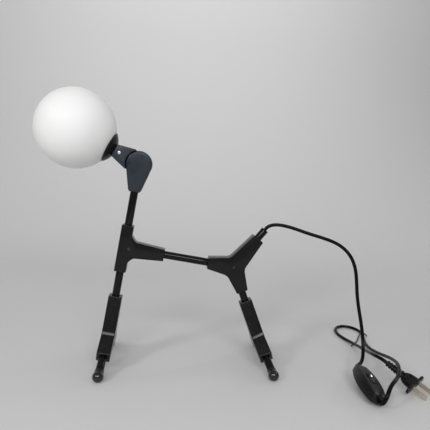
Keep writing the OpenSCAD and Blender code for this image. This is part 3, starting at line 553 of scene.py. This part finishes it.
def thickenShell(piece, side, screwOut):
    startEdit(piece)
    bpy.ops.mesh.select_all(action="SELECT")
    pull(z=side * connector["halfThick"])
    outward()
    pickSharp(50)
    leaveOut(piece, flatEdge(0))
    roundEdges(connector["edge"], 3)
    pick(piece, "edges", flatEdge(0))
    roundEdges(connector["seam"], 1)
    endEdit()
    if side > 0:
        sink = connector["screwSink"]
        holeUp = connector["halfThick"] - (sink - cutOver) / 2
        carve(piece, addCylinder(connector["screwHole"], sink + cutOver, (screwOut, 0, holeUp)))


def filletCorners(piece, spots, radius, opening):
    startEdit(piece)
    bpy.ops.mesh.select_all(action="SELECT")
    bpy.ops.mesh.dissolve_faces()
    pick(piece, "verts", lambda v: any((v.co - Vector(s) * mm).length < close for s in spots))
    bpy.ops.mesh.bevel(offset=radius / tan(opening / 2) * mm, segments=connector["filletSteps"],
                       profile=connector["filletProfile"], affect="VERTICES")
    endEdit()


def threeWayShell(longArm, side):
    reach, short, endWidth = connector["cornerReach"], connector["shortArm"], connector["endWidth"]
    root = reach * cos(radians(60))
    rootWidth = 2 * reach * sin(radians(60))
    arms = [(Vector((cos(radians(a)), sin(radians(a)), 0)), length)
            for a, length in ((90, longArm), (210, short), (330, short))]
    clearPick()
    bpy.ops.mesh.primitive_circle_add(vertices=3, radius=reach * mm, fill_type="NGON", rotation=(0, 0, pi))
    piece = bakePlace(bpy.context.object)
    startEdit(piece, "EDGE")
    for way, length in arms:
        pick(piece, "edges", lambda e: (middle(e) - way * root * mm).length < close)
        pullEdge(way * (length - root) * mm)
        bpy.ops.transform.resize(value=(endWidth / rootWidth,) * 3, center_override=way * length * mm)
    endEdit()
    corners = [(reach * cos(radians(a)), reach * sin(radians(a)), 0) for a in (30, 150, 270)]
    taper = atan((rootWidth - endWidth) / 2 / (short - root))
    filletCorners(piece, corners, connector["fillet"], radians(120) + 2 * taper)
    thickenShell(piece, side, 0)
    return openSockets(piece, arms)


def finishShells(longArm, place, names):
    for side, (name, node) in zip((1, -1), names):
        piece = bakePlace(threeWayShell(longArm, side), place @ upright)
        finishPiece(piece, name, "frame", connectorPlastic, [node], connector["smooth"])


finishShells(connector["tailArm"], tailFrame,
             [("hipNear", "hip_near_shell"), ("hipFar", "hip_far_shell")])
finishShells(connector["forkStem"], frontForkFrame @ turnZ(90),
             [("frontForkAft", "front_fork_aft_shell"), ("frontForkFore", "front_fork_fore_shell")])
finishShells(connector["forkStem"], rearForkFrame @ turnZ(90),
             [("rearForkAft", "rear_fork_aft_shell"), ("rearForkFore", "rear_fork_fore_shell")])
print("stage: three way connectors made")

# shoulder tee: the root block with its top, bottom and side drawn out
tee = {"sleeve": 61.0, "arm": 52.0, "rootHalf": 11.0, "fillet": 8.0, "screwOut": 6.4}


def teeShell(side):
    half, root = connector["endWidth"] / 2, tee["rootHalf"]
    clearPick()
    bpy.ops.mesh.primitive_plane_add(size=1)
    piece = bpy.context.object
    piece.scale = (2 * half * mm, 2 * root * mm, 1)
    bakePlace(piece)
    startEdit(piece, "EDGE")
    rise = tee["sleeve"] / 2 - root
    for end in (1, -1):
        pick(piece, "edges", lambda e: (middle(e) - Vector((0, end * root * mm, 0))).length < close)
        pullEdge((0, end * rise * mm, 0))
    pick(piece, "edges", lambda e: (middle(e) - Vector((half * mm, 0, 0))).length < close)
    pullEdge(((tee["arm"] - half) * mm, 0, 0))
    bpy.ops.transform.resize(value=(half / root,) * 3, center_override=(tee["arm"] * mm, 0, 0))
    endEdit()
    taper = atan((root - half) / (tee["arm"] - half))
    filletCorners(piece, [(half, root, 0), (half, -root, 0)], tee["fillet"], radians(90) + taper)
    thickenShell(piece, side, tee["screwOut"])
    up, out = Vector((0, 1, 0)), Vector((1, 0, 0))
    return openSockets(piece, [(up, tee["sleeve"] / 2), (-up, tee["sleeve"] / 2), (out, tee["arm"])])


for side, name, node in ((1, "shoulderNear", "shoulder_near_shell"),
                         (-1, "shoulderFar", "shoulder_far_shell")):
    piece = bakePlace(teeShell(side), teeFrame @ upright)
    finishPiece(piece, name, "frame", connectorPlastic, [node], connector["smooth"])
print("stage: shoulder tee made")

# screws that close the shells, with a cross recess
screwSpec = {"headR": 2.6, "headH": 2.0, "edge": 0.5, "shankR": 1.5, "shankLen": 12.0, "sunk": 0.6,
             "slotLong": 2.9, "slot": 0.7, "slotDeep": 1.0}


def crossScrew():
    head = addCylinder(screwSpec["headR"], screwSpec["headH"], (0, 0, -screwSpec["headH"] / 2), sides=40)
    startEdit(head)
    pick(head, "edges", flatEdge(0))
    roundEdges(screwSpec["edge"], 3)
    pick(head, "faces", faceTowards((0, 0, -1)))
    bpy.ops.mesh.inset(thickness=(screwSpec["headR"] - screwSpec["shankR"]) * mm)
    pull(z=-screwSpec["shankLen"])
    endEdit()
    for turn in (45, 135):
        blade = addBox((screwSpec["slotLong"], screwSpec["slot"], 2 * screwSpec["slotDeep"]))
        carve(head, bakePlace(blade, turnZ(turn)))
    return head


def screwSpot(out=0.0):
    return upright @ moveTo((out, 0, connector["halfThick"] - screwSpec["sunk"]))


firstScrew = crossScrew()
for name, node, place in (
        ("shoulderScrew", "shoulder_screw", teeFrame @ screwSpot(tee["screwOut"])),
        ("hipScrew", "hip_screw", tailFrame @ screwSpot()),
        ("frontForkScrew", "front_fork_screw", frontForkFrame @ turnZ(90) @ screwSpot()),
        ("rearForkScrew", "rear_fork_screw", rearForkFrame @ turnZ(90) @ screwSpot())):
    finishPiece(copyPiece(firstScrew, place), name, "frame", darkSteel, [node])
bpy.data.objects.remove(firstScrew)
print("stage: screws set")

# painted tubes: each a drawn cylinder with turned ends
tubeSpec = {"wall": 1.0, "lip": 0.35, "hollow": 7.0}


def drawnTube(length):
    piece = addCylinder(lamp["tubeR"], length, (0, 0, length / 2), sides=64)
    startEdit(piece)
    pick(piece, "edges", lambda e: flatEdge(0)(e) or flatEdge(length * mm)(e))
    roundEdges(tubeSpec["lip"], 3)
    for end, way in ((0, -1), (length, 1)):
        pick(piece, "faces", lambda f: f.normal.z * way > 0.99 and abs(middle(f).z - end * mm) < close)
        bpy.ops.mesh.inset(thickness=(tubeSpec["wall"] - tubeSpec["lip"]) * mm)
        pull(z=-way * tubeSpec["hollow"])
    endEdit()
    return piece


# from up to a foot branch, near at -1
def fork(side): return turnX(-side * 120)


sleeveIn = tee["sleeve"] / 2 - lamp["socketDepth"]
shortIn = connector["shortArm"] - lamp["socketDepth"]
tubes = [  # name, solid, length and place of the inner end
    ("neckTube", "neck_tube", 72, teeFrame @ moveTo((0, 0, sleeveIn))),
    ("frontLegTube", "front_leg_tube", 59, teeFrame @ turnY(180) @ moveTo((0, 0, sleeveIn))),
    ("bodyTube", "body_tube", 84, teeFrame @ turnY(90) @ moveTo((0, 0, tee["arm"] - lamp["socketDepth"]))),
    ("rearLegTube", "rear_leg_tube", 40, hipFrame @ turnY(150) @ moveTo((0, 0, shortIn))),
    ("tailTube", "tail_tube", 26, tailFrame @ moveTo((0, 0, connector["tailArm"] - lamp["socketDepth"]))),
    ("frontNearFootTube", "front_near_foot_tube", 38, frontForkFrame @ fork(-1) @ moveTo((0, 0, shortIn))),
    ("frontFarFootTube", "front_far_foot_tube", 38, frontForkFrame @ fork(1) @ moveTo((0, 0, shortIn))),
    ("rearNearFootTube", "rear_near_foot_tube", 38, rearForkFrame @ fork(-1) @ moveTo((0, 0, shortIn))),
    ("rearFarFootTube", "rear_far_foot_tube", 38, rearForkFrame @ fork(1) @ moveTo((0, 0, shortIn))),
]
for name, node, length, place in tubes:
    finishPiece(bakePlace(drawnTube(length), place), name, "frame", tubePaint, [node])
print("stage: tubes made")

# ball feet: a ball with a short collar, worn flat where it stands
foot = {"ballR": 6.75, "out": 62.0, "collarR": 5.7, "collarUp": 8.0, "hollow": 4.0}


def ballFoot(place):
    piece = addBall(foot["ballR"])
    startEdit(piece)
    cutUp = -sqrt(foot["ballR"] ** 2 - foot["collarR"] ** 2)
    slicePiece((0, 0, cutUp * mm), (0, 0, 1), use_fill=True, clear_inner=True)
    pick(piece, "faces", lambda f: f.normal.z < -0.99 and len(f.verts) > 20)
    pull(z=-(foot["collarUp"] + cutUp))
    bpy.ops.mesh.inset(thickness=(foot["collarR"] - lamp["socketR"]) * mm)
    pull(z=foot["hollow"])
    endEdit()
    bakePlace(piece, place @ moveTo((0, 0, foot["out"])))
    startEdit(piece)
    slicePiece((0, 0, 0), (0, 0, 1), use_fill=True, clear_inner=True)
    outward()
    endEdit()
    return piece


for name, node, place in (("frontNearBall", "front_near_ball", frontForkFrame @ fork(-1)),
                          ("frontFarBall", "front_far_ball", frontForkFrame @ fork(1)),
                          ("rearNearBall", "rear_near_ball", rearForkFrame @ fork(-1)),
                          ("rearFarBall", "rear_far_ball", rearForkFrame @ fork(1))):
    finishPiece(ballFoot(place), name, "frame", footPlastic, [node])
print("stage: feet made")

# tilting joint: the housing keeps the near half of the lap, the knuckle the far half
jointSpec = {"r": 16.5, "half": 8.5, "edge": 2.8, "lapR": 17.6, "lap": 0.4, "lapCut": 20.0, "housing": 36.0,
             "tip": 1.0, "neckHoleLen": 17.0, "neckHoleIn": 7.5, "knuckle": 34.8, "knuckleEnd": 16.4,
             "knuckleEdge": 1.3, "wedgeStart": 4.0, "upperWing": (50, 18.6), "lowerWing": (49, 18.6),
             "nippleHoleLen": 13.0, "nippleHoleIn": 6.0, "boltHoleR": 2.55, "boltSeatR": 4.65,
             "boltSeatLen": 6.0, "boltSeatIn": 0.5, "smooth": 30}
grub = {"r": 2.0, "length": 3.0, "edge": 0.3, "hexR": 1.15, "hexDeep": 1.6, "holeR": 2.05, "holeLen": 6.0,
        "holeIn": 7.0, "knuckleAt": (28.0, 8.1), "housingAt": (-27.0, -8.4)}


def lapCutter(way):
    up = way * (jointSpec["lapCut"] / 2 - jointSpec["lap"])
    return addCylinder(jointSpec["lapR"], jointSpec["lapCut"], (0, 0, up), sides=96)


def grubCutter(out, way):
    return addCylinder(grub["holeR"], grub["holeLen"], (0, out, way * grub["holeIn"]))


def jointHousing():
    full = 2 * jointSpec["half"]
    piece = addCylinder(jointSpec["r"], full, sides=96)
    tip = addBox((connector["endWidth"], jointSpec["tip"], full),
                 (0, jointSpec["tip"] / 2 - jointSpec["housing"], 0))
    addOn(piece, tip)
    startEdit(piece)
    bpy.ops.mesh.select_all(action="SELECT")
    bpy.ops.mesh.convex_hull()
    bpy.ops.mesh.select_all(action="SELECT")
    bpy.ops.mesh.dissolve_limited(angle_limit=radians(0.5))
    outward()
    pickSharp(40)
    roundEdges(jointSpec["edge"], 5)
    endEdit()
    carve(piece, lapCutter(-1))
    carve(piece, addCylinder(lamp["socketR"], jointSpec["neckHoleLen"],
                             (0, jointSpec["neckHoleIn"] - jointSpec["housing"], 0), (0, 1, 0)))
    return carve(piece, grubCutter(grub["housingAt"][0], -1))


def headKnuckle():
    half = jointSpec["half"]
    tip, end, start = jointSpec["knuckleEnd"] / 2, jointSpec["knuckle"], jointSpec["wedgeStart"]
    wings = ((1, *jointSpec["upperWing"]), (-1, *jointSpec["lowerWing"]))
    piece = addBox((2 * tip, end - start, 2 * half), (0, (end + start) / 2, 0))
    startEdit(piece)
    for way, turn, reach in wings:
        wingX, wingY = reach * sin(radians(turn)), reach * cos(radians(turn))
        wide = wingX + (wingX - tip) / (end - wingY) * (wingY - start)
        pick(piece, "edges", lambda e: all(v.co.x * way > 0 and v.co.y < (start + 1) * mm for v in e.verts))
        bpy.ops.transform.translate(value=(way * (wide - tip) * mm, 0, 0))
    for way, turn, reach in wings:
        slicePiece((0, 0, 0), (way * cos(radians(turn)), -sin(radians(turn)), 0),
                   use_fill=True, clear_outer=True)
    pick(piece, "edges", lambda e: not all(v.co.y < (start + 1) * mm for v in e.verts))
    roundEdges(jointSpec["knuckleEdge"], 4)
    endEdit()
    disc = addCylinder(jointSpec["r"], half - jointSpec["lap"], (0, 0, -(half + jointSpec["lap"]) / 2),
                       sides=96)
    startEdit(disc)
    pick(disc, "edges", flatEdge(-half * mm))
    roundEdges(jointSpec["edge"], 5)
    endEdit()
    carve(piece, lapCutter(1))
    carve(piece, disc, "UNION")
    carve(piece, addCylinder(jointSpec["boltSeatR"], jointSpec["boltSeatLen"],
                             (0, 0, jointSpec["boltSeatIn"] - half)))
    carve(piece, addCylinder(jointSpec["boltHoleR"], jointSpec["lapCut"]))
    carve(piece, grubCutter(grub["knuckleAt"][0], 1))
    return carve(piece, addCylinder(lamp["socketR"], jointSpec["nippleHoleLen"],
                                    (0, end - jointSpec["nippleHoleIn"], 0), (0, 1, 0)))


finishPiece(bakePlace(jointHousing(), jointFrame @ upright), "jointHousing", "swivel",
            jointPlastic, ["joint_housing"], jointSpec["smooth"])
finishPiece(bakePlace(headKnuckle(), headFrame @ upright), "headKnuckle", "head",
            jointPlastic, ["head_knuckle"], jointSpec["smooth"])


# socket set screws and the pivot bolt, each with a hexagon recess
def socketScrew(radius, length, hexR, hexDeep, headR=0.0, headH=0.0):
    piece = addCylinder(headR or radius, headH or length, (0, 0, -(headH or length) / 2), sides=40)
    startEdit(piece)
    pick(piece, "edges", flatEdge(0))
    roundEdges(grub["edge"], 2)
    if headR:
        pick(piece, "faces", faceTowards((0, 0, -1)))
        bpy.ops.mesh.inset(thickness=(headR - radius) * mm)
        pull(z=-length)
    endEdit()
    return carve(piece, addCylinder(hexR, 2 * hexDeep, sides=6))


grubPlaces = (("knuckleGrub", "knuckle_grub_screw", "head",
               headFrame @ upright @ moveTo((0, *grub["knuckleAt"]))),
              ("housingGrub", "housing_grub_screw", "swivel",
               jointFrame @ upright @ moveTo((0, *grub["housingAt"])) @ turnX(180)))
for name, node, body, place in grubPlaces:
    piece = socketScrew(grub["r"], grub["length"], grub["hexR"], grub["hexDeep"])
    finishPiece(bakePlace(piece, place), name, body, zincSteel, [node])
bolt = {"r": 2.5, "length": 11.5, "headR": 4.25, "headH": 3.0, "hexR": 2.3, "hexDeep": 1.5, "headTop": 7.9}
piece = socketScrew(bolt["r"], bolt["length"], bolt["hexR"], bolt["hexDeep"], bolt["headR"], bolt["headH"])
boltPlace = jointFrame @ upright @ moveTo((0, 0, -bolt["headTop"])) @ turnX(180)
finishPiece(bakePlace(piece, boltPlace), "pivotBolt", "swivel", zincSteel, ["pivot_bolt"])
print("stage: tilting joint made")

# cap: a slice of a ball, turned up into a sheet, with the collar that carries the globe
cap = {"seat": 34.8, "flat": 0.5, "rise": 8.2, "r": 19.0, "wall": 1.2, "edge": 0.35, "collarR": 15.9,
       "collarWall": 2.0, "collarIn": 5.0, "collarClear": 4.0, "collarFloor": 1.0}
globe = {"r": 50.0, "wall": 2.5, "mouthR": 16.0}
globeUp = cap["seat"] + cap["rise"] + sqrt(globe["r"] ** 2 - cap["r"] ** 2)


def shadeCap():
    ballR = (cap["r"] ** 2 + cap["rise"] ** 2) / (2 * cap["rise"])
    rim = cap["seat"] + cap["rise"]
    piece = addBall(ballR, cap["seat"] + ballR, 96, 96)
    startEdit(piece)
    slicePiece((0, 0, rim * mm), (0, 0, 1), clear_outer=True)
    slicePiece((0, 0, (cap["seat"] + cap["flat"]) * mm), (0, 0, 1), clear_inner=True, use_fill=True)
    outward()
    endEdit()
    giveWall(piece, cap["wall"])
    startEdit(piece)
    pick(piece, "edges", flatEdge(rim * mm, 0.2 * mm))
    roundEdges(cap["edge"], 2)
    endEdit()
    tall = cap["collarIn"] + cap["rise"] - cap["collarClear"]
    collar = addCylinder(cap["collarR"], tall, (0, 0, rim + cap["collarIn"] - tall / 2), sides=64)
    startEdit(collar)
    pick(collar, "faces", faceTowards((0, 0, 1)))
    bpy.ops.mesh.inset(thickness=cap["collarWall"] * mm)
    pull(z=cap["collarFloor"] - tall)
    endEdit()
    return addOn(piece, collar)


def globeShade():
    piece = addBall(globe["r"], globeUp, 160, 96)
    mouth = globeUp - sqrt(globe["r"] ** 2 - globe["mouthR"] ** 2)
    startEdit(piece)
    slicePiece((0, 0, mouth * mm), (0, 0, 1), clear_inner=True)
    outward()
    endEdit()
    return giveWall(piece, globe["wall"])


finishPiece(bakePlace(shadeCap(), headFrame), "shadeCap", "head", capEnamel, ["shade_cap"])
finishPiece(bakePlace(globeShade(), headFrame), "globeShade", "head", opalGlass,
            ["globe_shade"], smooth=60)
print("stage: cap and globe made")

# cord switch: two boat shaped halves and a rocker
switchSpec = {"place": (254.6, -91.7, 13.463), "turn": -92.5, "pitch": 10.0, "roll": -23.0, "length": 60.0,
              "width": 24.0, "endWidth": 15.5, "half": 7.5, "endHalf": 5.5, "edge": 1.8, "seam": 0.3,
              "stations": 12, "window": (15.8, 9.8, 8.0), "windowIn": 3.0, "pinUp": 3.8, "smooth": 40}
rocker = {"size": (15.0, 9.0), "tilt": 8.0, "proud": 2.0, "drop": 3.0, "edge": 0.7,
          "dips": ((-0.25, 1.2), (0, 1.0), (0.25, 1.2))}
switchFrame = (moveTo(switchSpec["place"]) @ turnZ(switchSpec["turn"]) @ turnY(switchSpec["pitch"])
               @ turnX(switchSpec["roll"]))


def boatHalf(side):
    length, half = switchSpec["length"], switchSpec["half"]
    piece = addBox((length, switchSpec["width"], half), (0, 0, side * half / 2))
    startEdit(piece)
    stops = [length * (i / switchSpec["stations"] - 0.5) for i in range(switchSpec["stations"] + 1)]
    for x in stops[1:-1]:
        slicePiece((x * mm, 0, 0), (1, 0, 0))
    for x in stops:
        bow = 1 - (2 * x / length) ** 2
        wide = switchSpec["endWidth"] + (switchSpec["width"] - switchSpec["endWidth"]) * bow
        tall = switchSpec["endHalf"] + (half - switchSpec["endHalf"]) * bow
        pick(piece, "verts", lambda v: abs(v.co.x - x * mm) < close)
        bpy.ops.transform.resize(value=(1, wide / switchSpec["width"], tall / half),
                                 center_override=(x * mm, 0, 0))
    pickSharp(50)
    leaveOut(piece, flatEdge(0))
    roundEdges(switchSpec["edge"], 5)
    pick(piece, "edges", lambda e: flatEdge(0)(e) and len(e.link_faces) == 2
         and abs(e.link_faces[0].normal.z - e.link_faces[1].normal.z) > 0.5)
    roundEdges(switchSpec["seam"], 1)
    endEdit()
    return piece


def switchCover():
    piece = boatHalf(1)
    return carve(piece, addBox(switchSpec["window"], (0, 0, switchSpec["half"] - switchSpec["windowIn"])))


# the top is pressed in at three places along its length, the outer two a little more than its tilt
def rockerKey():
    long, wide = rocker["size"]
    top = switchSpec["half"] + rocker["proud"] - switchSpec["pinUp"]
    lean = tan(radians(rocker["tilt"]))
    piece = addBox((long, wide, top + rocker["drop"]), (0, 0, (top - rocker["drop"]) / 2))
    startEdit(piece)
    slicePiece((0, 0, 0), (0, 0, 1))
    for x, press in rocker["dips"]:
        slicePiece((x * long * mm, 0, 0), (1, 0, 0))
    pick(piece, "verts", lambda v: abs(v.co.x) > 0.49 * long * mm and v.co.z > (top - 0.1) * mm)
    bpy.ops.transform.resize(value=(1 - 2 * top * lean / long, 1, 1), center_override=(0, 0, 0))
    for x, press in rocker["dips"]:
        dip = (0.5 - abs(x)) * long * lean * press
        pick(piece, "verts", lambda v: abs(v.co.x - x * long * mm) < close and v.co.z > 1 * mm)
        bpy.ops.transform.translate(value=(0, 0, -dip * mm))
    pickSharp(50)
    roundEdges(rocker["edge"], 3)
    endEdit()
    return piece


finishPiece(bakePlace(boatHalf(-1), switchFrame), "switchBase", "frame", switchPlastic,
            ["switch_base"], switchSpec["smooth"])
finishPiece(bakePlace(switchCover(), switchFrame), "switchCover", "frame", switchPlastic,
            ["switch_cover"], switchSpec["smooth"])
rockerPlace = switchFrame @ moveTo((0, 0, switchSpec["pinUp"])) @ turnY(rocker["tilt"])
finishPiece(bakePlace(rockerKey(), rockerPlace), "switchRocker", "rocker", rockerPlastic,
            ["switch_rocker"], switchSpec["smooth"])
print("stage: switch made")

# plug: ribbed sleeve, body and finger guard, and two flat pins
plug = {"place": (292.3, -62.2, 25.36), "turn": -55.0, "pitch": 21.0, "roll": 16.0, "sleeve": 23.0,
        "thin": 3.9, "thick": 5.2, "ribs": 6, "ribDeep": 1.0, "groove": (0.56, 0.94), "body": 17.0,
        "bodySize": (20.0, 12.0), "bodyEdge": 1.6, "backEnd": 0.1,
        "taper": ((0.06, 0.7), (0.2, 0.82), (0.4, 0.9), (0.6, 0.93), (0.8, 0.96)),
        "guard": 3.0, "guardSize": (35.0, 10.0), "guardEdge": 0.8, "cornerLess": 0.3, "smooth": 40}
grip = {"size": (1.5, 1.6), "start": 0.3, "long": 0.6, "corner": 0.4, "edge": 0.3, "out": 3.2, "sunk": 0.5}
pins = {"size": (1.5, 6.3), "length": 17.5, "inside": 10.0, "edge": 0.6, "pitch": 12.7}
plugFrame = moveTo(plug["place"]) @ turnZ(plug["turn"]) @ turnY(plug["pitch"]) @ turnX(plug["roll"])


def ribbedSleeve():
    length, count = plug["sleeve"], plug["ribs"]
    piece = addCylinder(plug["thin"], length, (length / 2, 0, 0), (1, 0, 0), sides=32)
    pitch = length / count
    startEdit(piece)
    stops = []
    for i in range(count):
        stops += [((i + 0.5) * pitch, False)] + [((i + at) * pitch, True) for at in plug["groove"]]
        if i < count - 1:
            stops.append(((i + 1) * pitch, False))
    for x, low in stops:
        slicePiece((x * mm, 0, 0), (1, 0, 0))
    for x, low in stops + [(length, False)]:
        wide = plug["thin"] + (plug["thick"] - plug["thin"]) * x / length - (plug["ribDeep"] if low else 0)
        pick(piece, "verts", lambda v: abs(v.co.x - x * mm) < 2 * close)
        grow = wide / plug["thin"]
        bpy.ops.transform.resize(value=(1, grow, grow), center_override=(x * mm, 0, 0))
    endEdit()
    return piece


def roundedBlock(width, height, length, start, corner, edge):
    piece = addBox((length, width, height), (start + length / 2, 0, 0))
    startEdit(piece)
    pick(piece, "edges", lambda e: abs((e.verts[0].co - e.verts[1].co).normalized().x) > 0.9)
    roundEdges(corner, 8)
    pickSharp(60)
    roundEdges(edge, 3)
    endEdit()
    return piece


def plugBody():
    wide, high = plug["bodySize"]
    start, long, guardLong = plug["sleeve"], plug["body"], plug["guard"]
    body = roundedBlock(wide, high, long, start, high / 2 - plug["cornerLess"], plug["bodyEdge"])
    startEdit(body)
    for x, slim in plug["taper"][1:]:
        slicePiece(((start + x * long) * mm, 0, 0), (1, 0, 0))
    for x, slim in plug["taper"]:
        at = start + x * long
        near, far = at - 0.1, at + 0.1
        if x < plug["backEnd"]:
            near, far = start - 0.1, start + plug["backEnd"] * long
        pick(body, "verts", lambda v: near * mm < v.co.x < far * mm)
        bpy.ops.transform.resize(value=(1, slim, slim), center_override=(at * mm, 0, 0))
    endEdit()
    guardW, guardH = plug["guardSize"]
    guard = roundedBlock(guardW, guardH, guardLong, start + long - guardLong, guardH / 2 - plug["cornerLess"],
                         plug["guardEdge"])
    parts = [body, guard]
    for y in (-grip["out"], grip["out"]):
        for side in (1, -1):
            rib = roundedBlock(*grip["size"], long * grip["long"], start + long * grip["start"],
                               grip["corner"], grip["edge"])
            parts.append(bakePlace(rib, moveTo((0, y, side * (high / 2 - grip["sunk"])))))
    return addOn(ribbedSleeve(), *parts)


def plugPins():
    thick, wide = pins["size"]
    long = pins["length"] + pins["inside"]
    start = plug["sleeve"] + plug["body"] - pins["inside"]
    blades = []
    for side in (-1, 1):
        blade = addBox((long, thick, wide), (start + long / 2, side * pins["pitch"] / 2, 0))
        startEdit(blade)
        pick(blade, "faces", faceTowards((1, 0, 0)))
        roundEdges(pins["edge"], 3)
        endEdit()
        blades.append(blade)
    return addOn(*blades)


finishPiece(bakePlace(plugBody(), plugFrame), "plugBody", "frame", plugVinyl, ["plug_body"],
            plug["smooth"])
finishPiece(bakePlace(plugPins(), plugFrame), "plugPins", "frame", nickelPin, ["plug_pins"],
            plug["smooth"])
print("stage: plug made")

# finishes of the solids that no piece stands for
kept = {
    "lamp_holder": holderCeramic, "bulb": bulbFrost, "holder_nipple": zincSteel, "nipple_nut": zincSteel,
    "head_lead": cordVinyl, "body_lead": cordVinyl, "tail_bush": cordVinyl, "pivot_nut": zincSteel,
    "friction_washer": washerFibre, "spring_washer": zincSteel, "switch_screws": zincSteel,
    "rocker_pin": zincSteel, "switch_contacts": contactBrass,
}
for name, finish in kept.items():
    nodes[name].data.materials.clear()
    nodes[name].data.materials.append(finish)

Vector(cordSpec["toSwitch"][0]) * mm
Vector(cordSpec["toPlug"][0]) * mm

# pale floor and soft studio light
stageSpec = {"floorSize": 6.0, "wallY": 1.5, "wallH": 2.6, "sweepR": 0.9, "floorTone": 0.65,
             "floorPale": 0.67, "worldLight": 0.36}
floorFinish, floorTree, floorSkin = newFinish("paleFloor", Roughness=0.6, Specular_IOR_Level=0.3)
floorTone = useGroup(floorTree, mouldedSkin, {
    "Colour": grey(stageSpec["floorTone"]), "Pale Colour": grey(stageSpec["floorPale"]),
    "Pebble Scale": 300.0, "Drift": 0.3})
join(floorTree, floorTone, "Colour", floorSkin, "Base Color")
clearPick()
bpy.ops.mesh.primitive_plane_add(size=stageSpec["floorSize"])
floor = bpy.context.object
floor.name = "floor"
startEdit(floor)
pick(floor, "verts", lambda v: v.co.y > 0)
bpy.ops.transform.translate(value=(0, stageSpec["wallY"] - stageSpec["floorSize"] / 2, 0))
pick(floor, "edges", lambda e: all(v.co.y > 1 for v in e.verts))
bpy.ops.mesh.extrude_region_move(TRANSFORM_OT_translate={"value": (0, 0, stageSpec["wallH"])})
pick(floor, "edges", lambda e: all(v.co.y > 1 and v.co.z < 0.1 for v in e.verts))
roundEdges(stageSpec["sweepR"] / mm, 24)
endEdit()
bpy.ops.object.shade_smooth()
floor.data.materials.append(floorFinish)

world = bpy.data.worlds.new("studio")
bpy.context.scene.world = world
world.use_nodes = True
sky = world.node_tree.nodes["Background"]
sky.inputs["Color"].default_value = grey(1.0)
sky.inputs["Strength"].default_value = stageSpec["worldLight"]

lights = [  # name, place, aim and size in metres, power in watts
    ("stripLight", (0.0, -1.17, 0.88), (0.03, 0, 0.12), (1.1, 0.38), 9.8),
    ("sideLight", (-1.15, -1.0, 1.0), (0.05, 0, 0.15), (0.3, 0.3), 6.0),
    ("rimLight", (1.55, 0.44, 0.82), (0.25, -0.09, 0.02), (0.16, 0.16), 1.6),
    ("wallLight", (0.1, 0.6, 1.4), (0.1, 1.5, 1.0), (1.6, 0.8), 7.0),
]
for name, place, aim, (wide, high), power in lights:
    lampData = bpy.data.lights.new(name, "AREA")
    lampData.shape = "RECTANGLE"
    lampData.size, lampData.size_y, lampData.energy = wide, high, power
    light = bpy.data.objects.new(name, lampData)
    bpy.context.collection.objects.link(light)
    light.location = place
    light.rotation_euler = (Vector(aim) - Vector(place)).to_track_quat("-Z", "Y").to_euler()

bpy.context.scene.view_settings.view_transform = "Standard"
print("stage: light set")
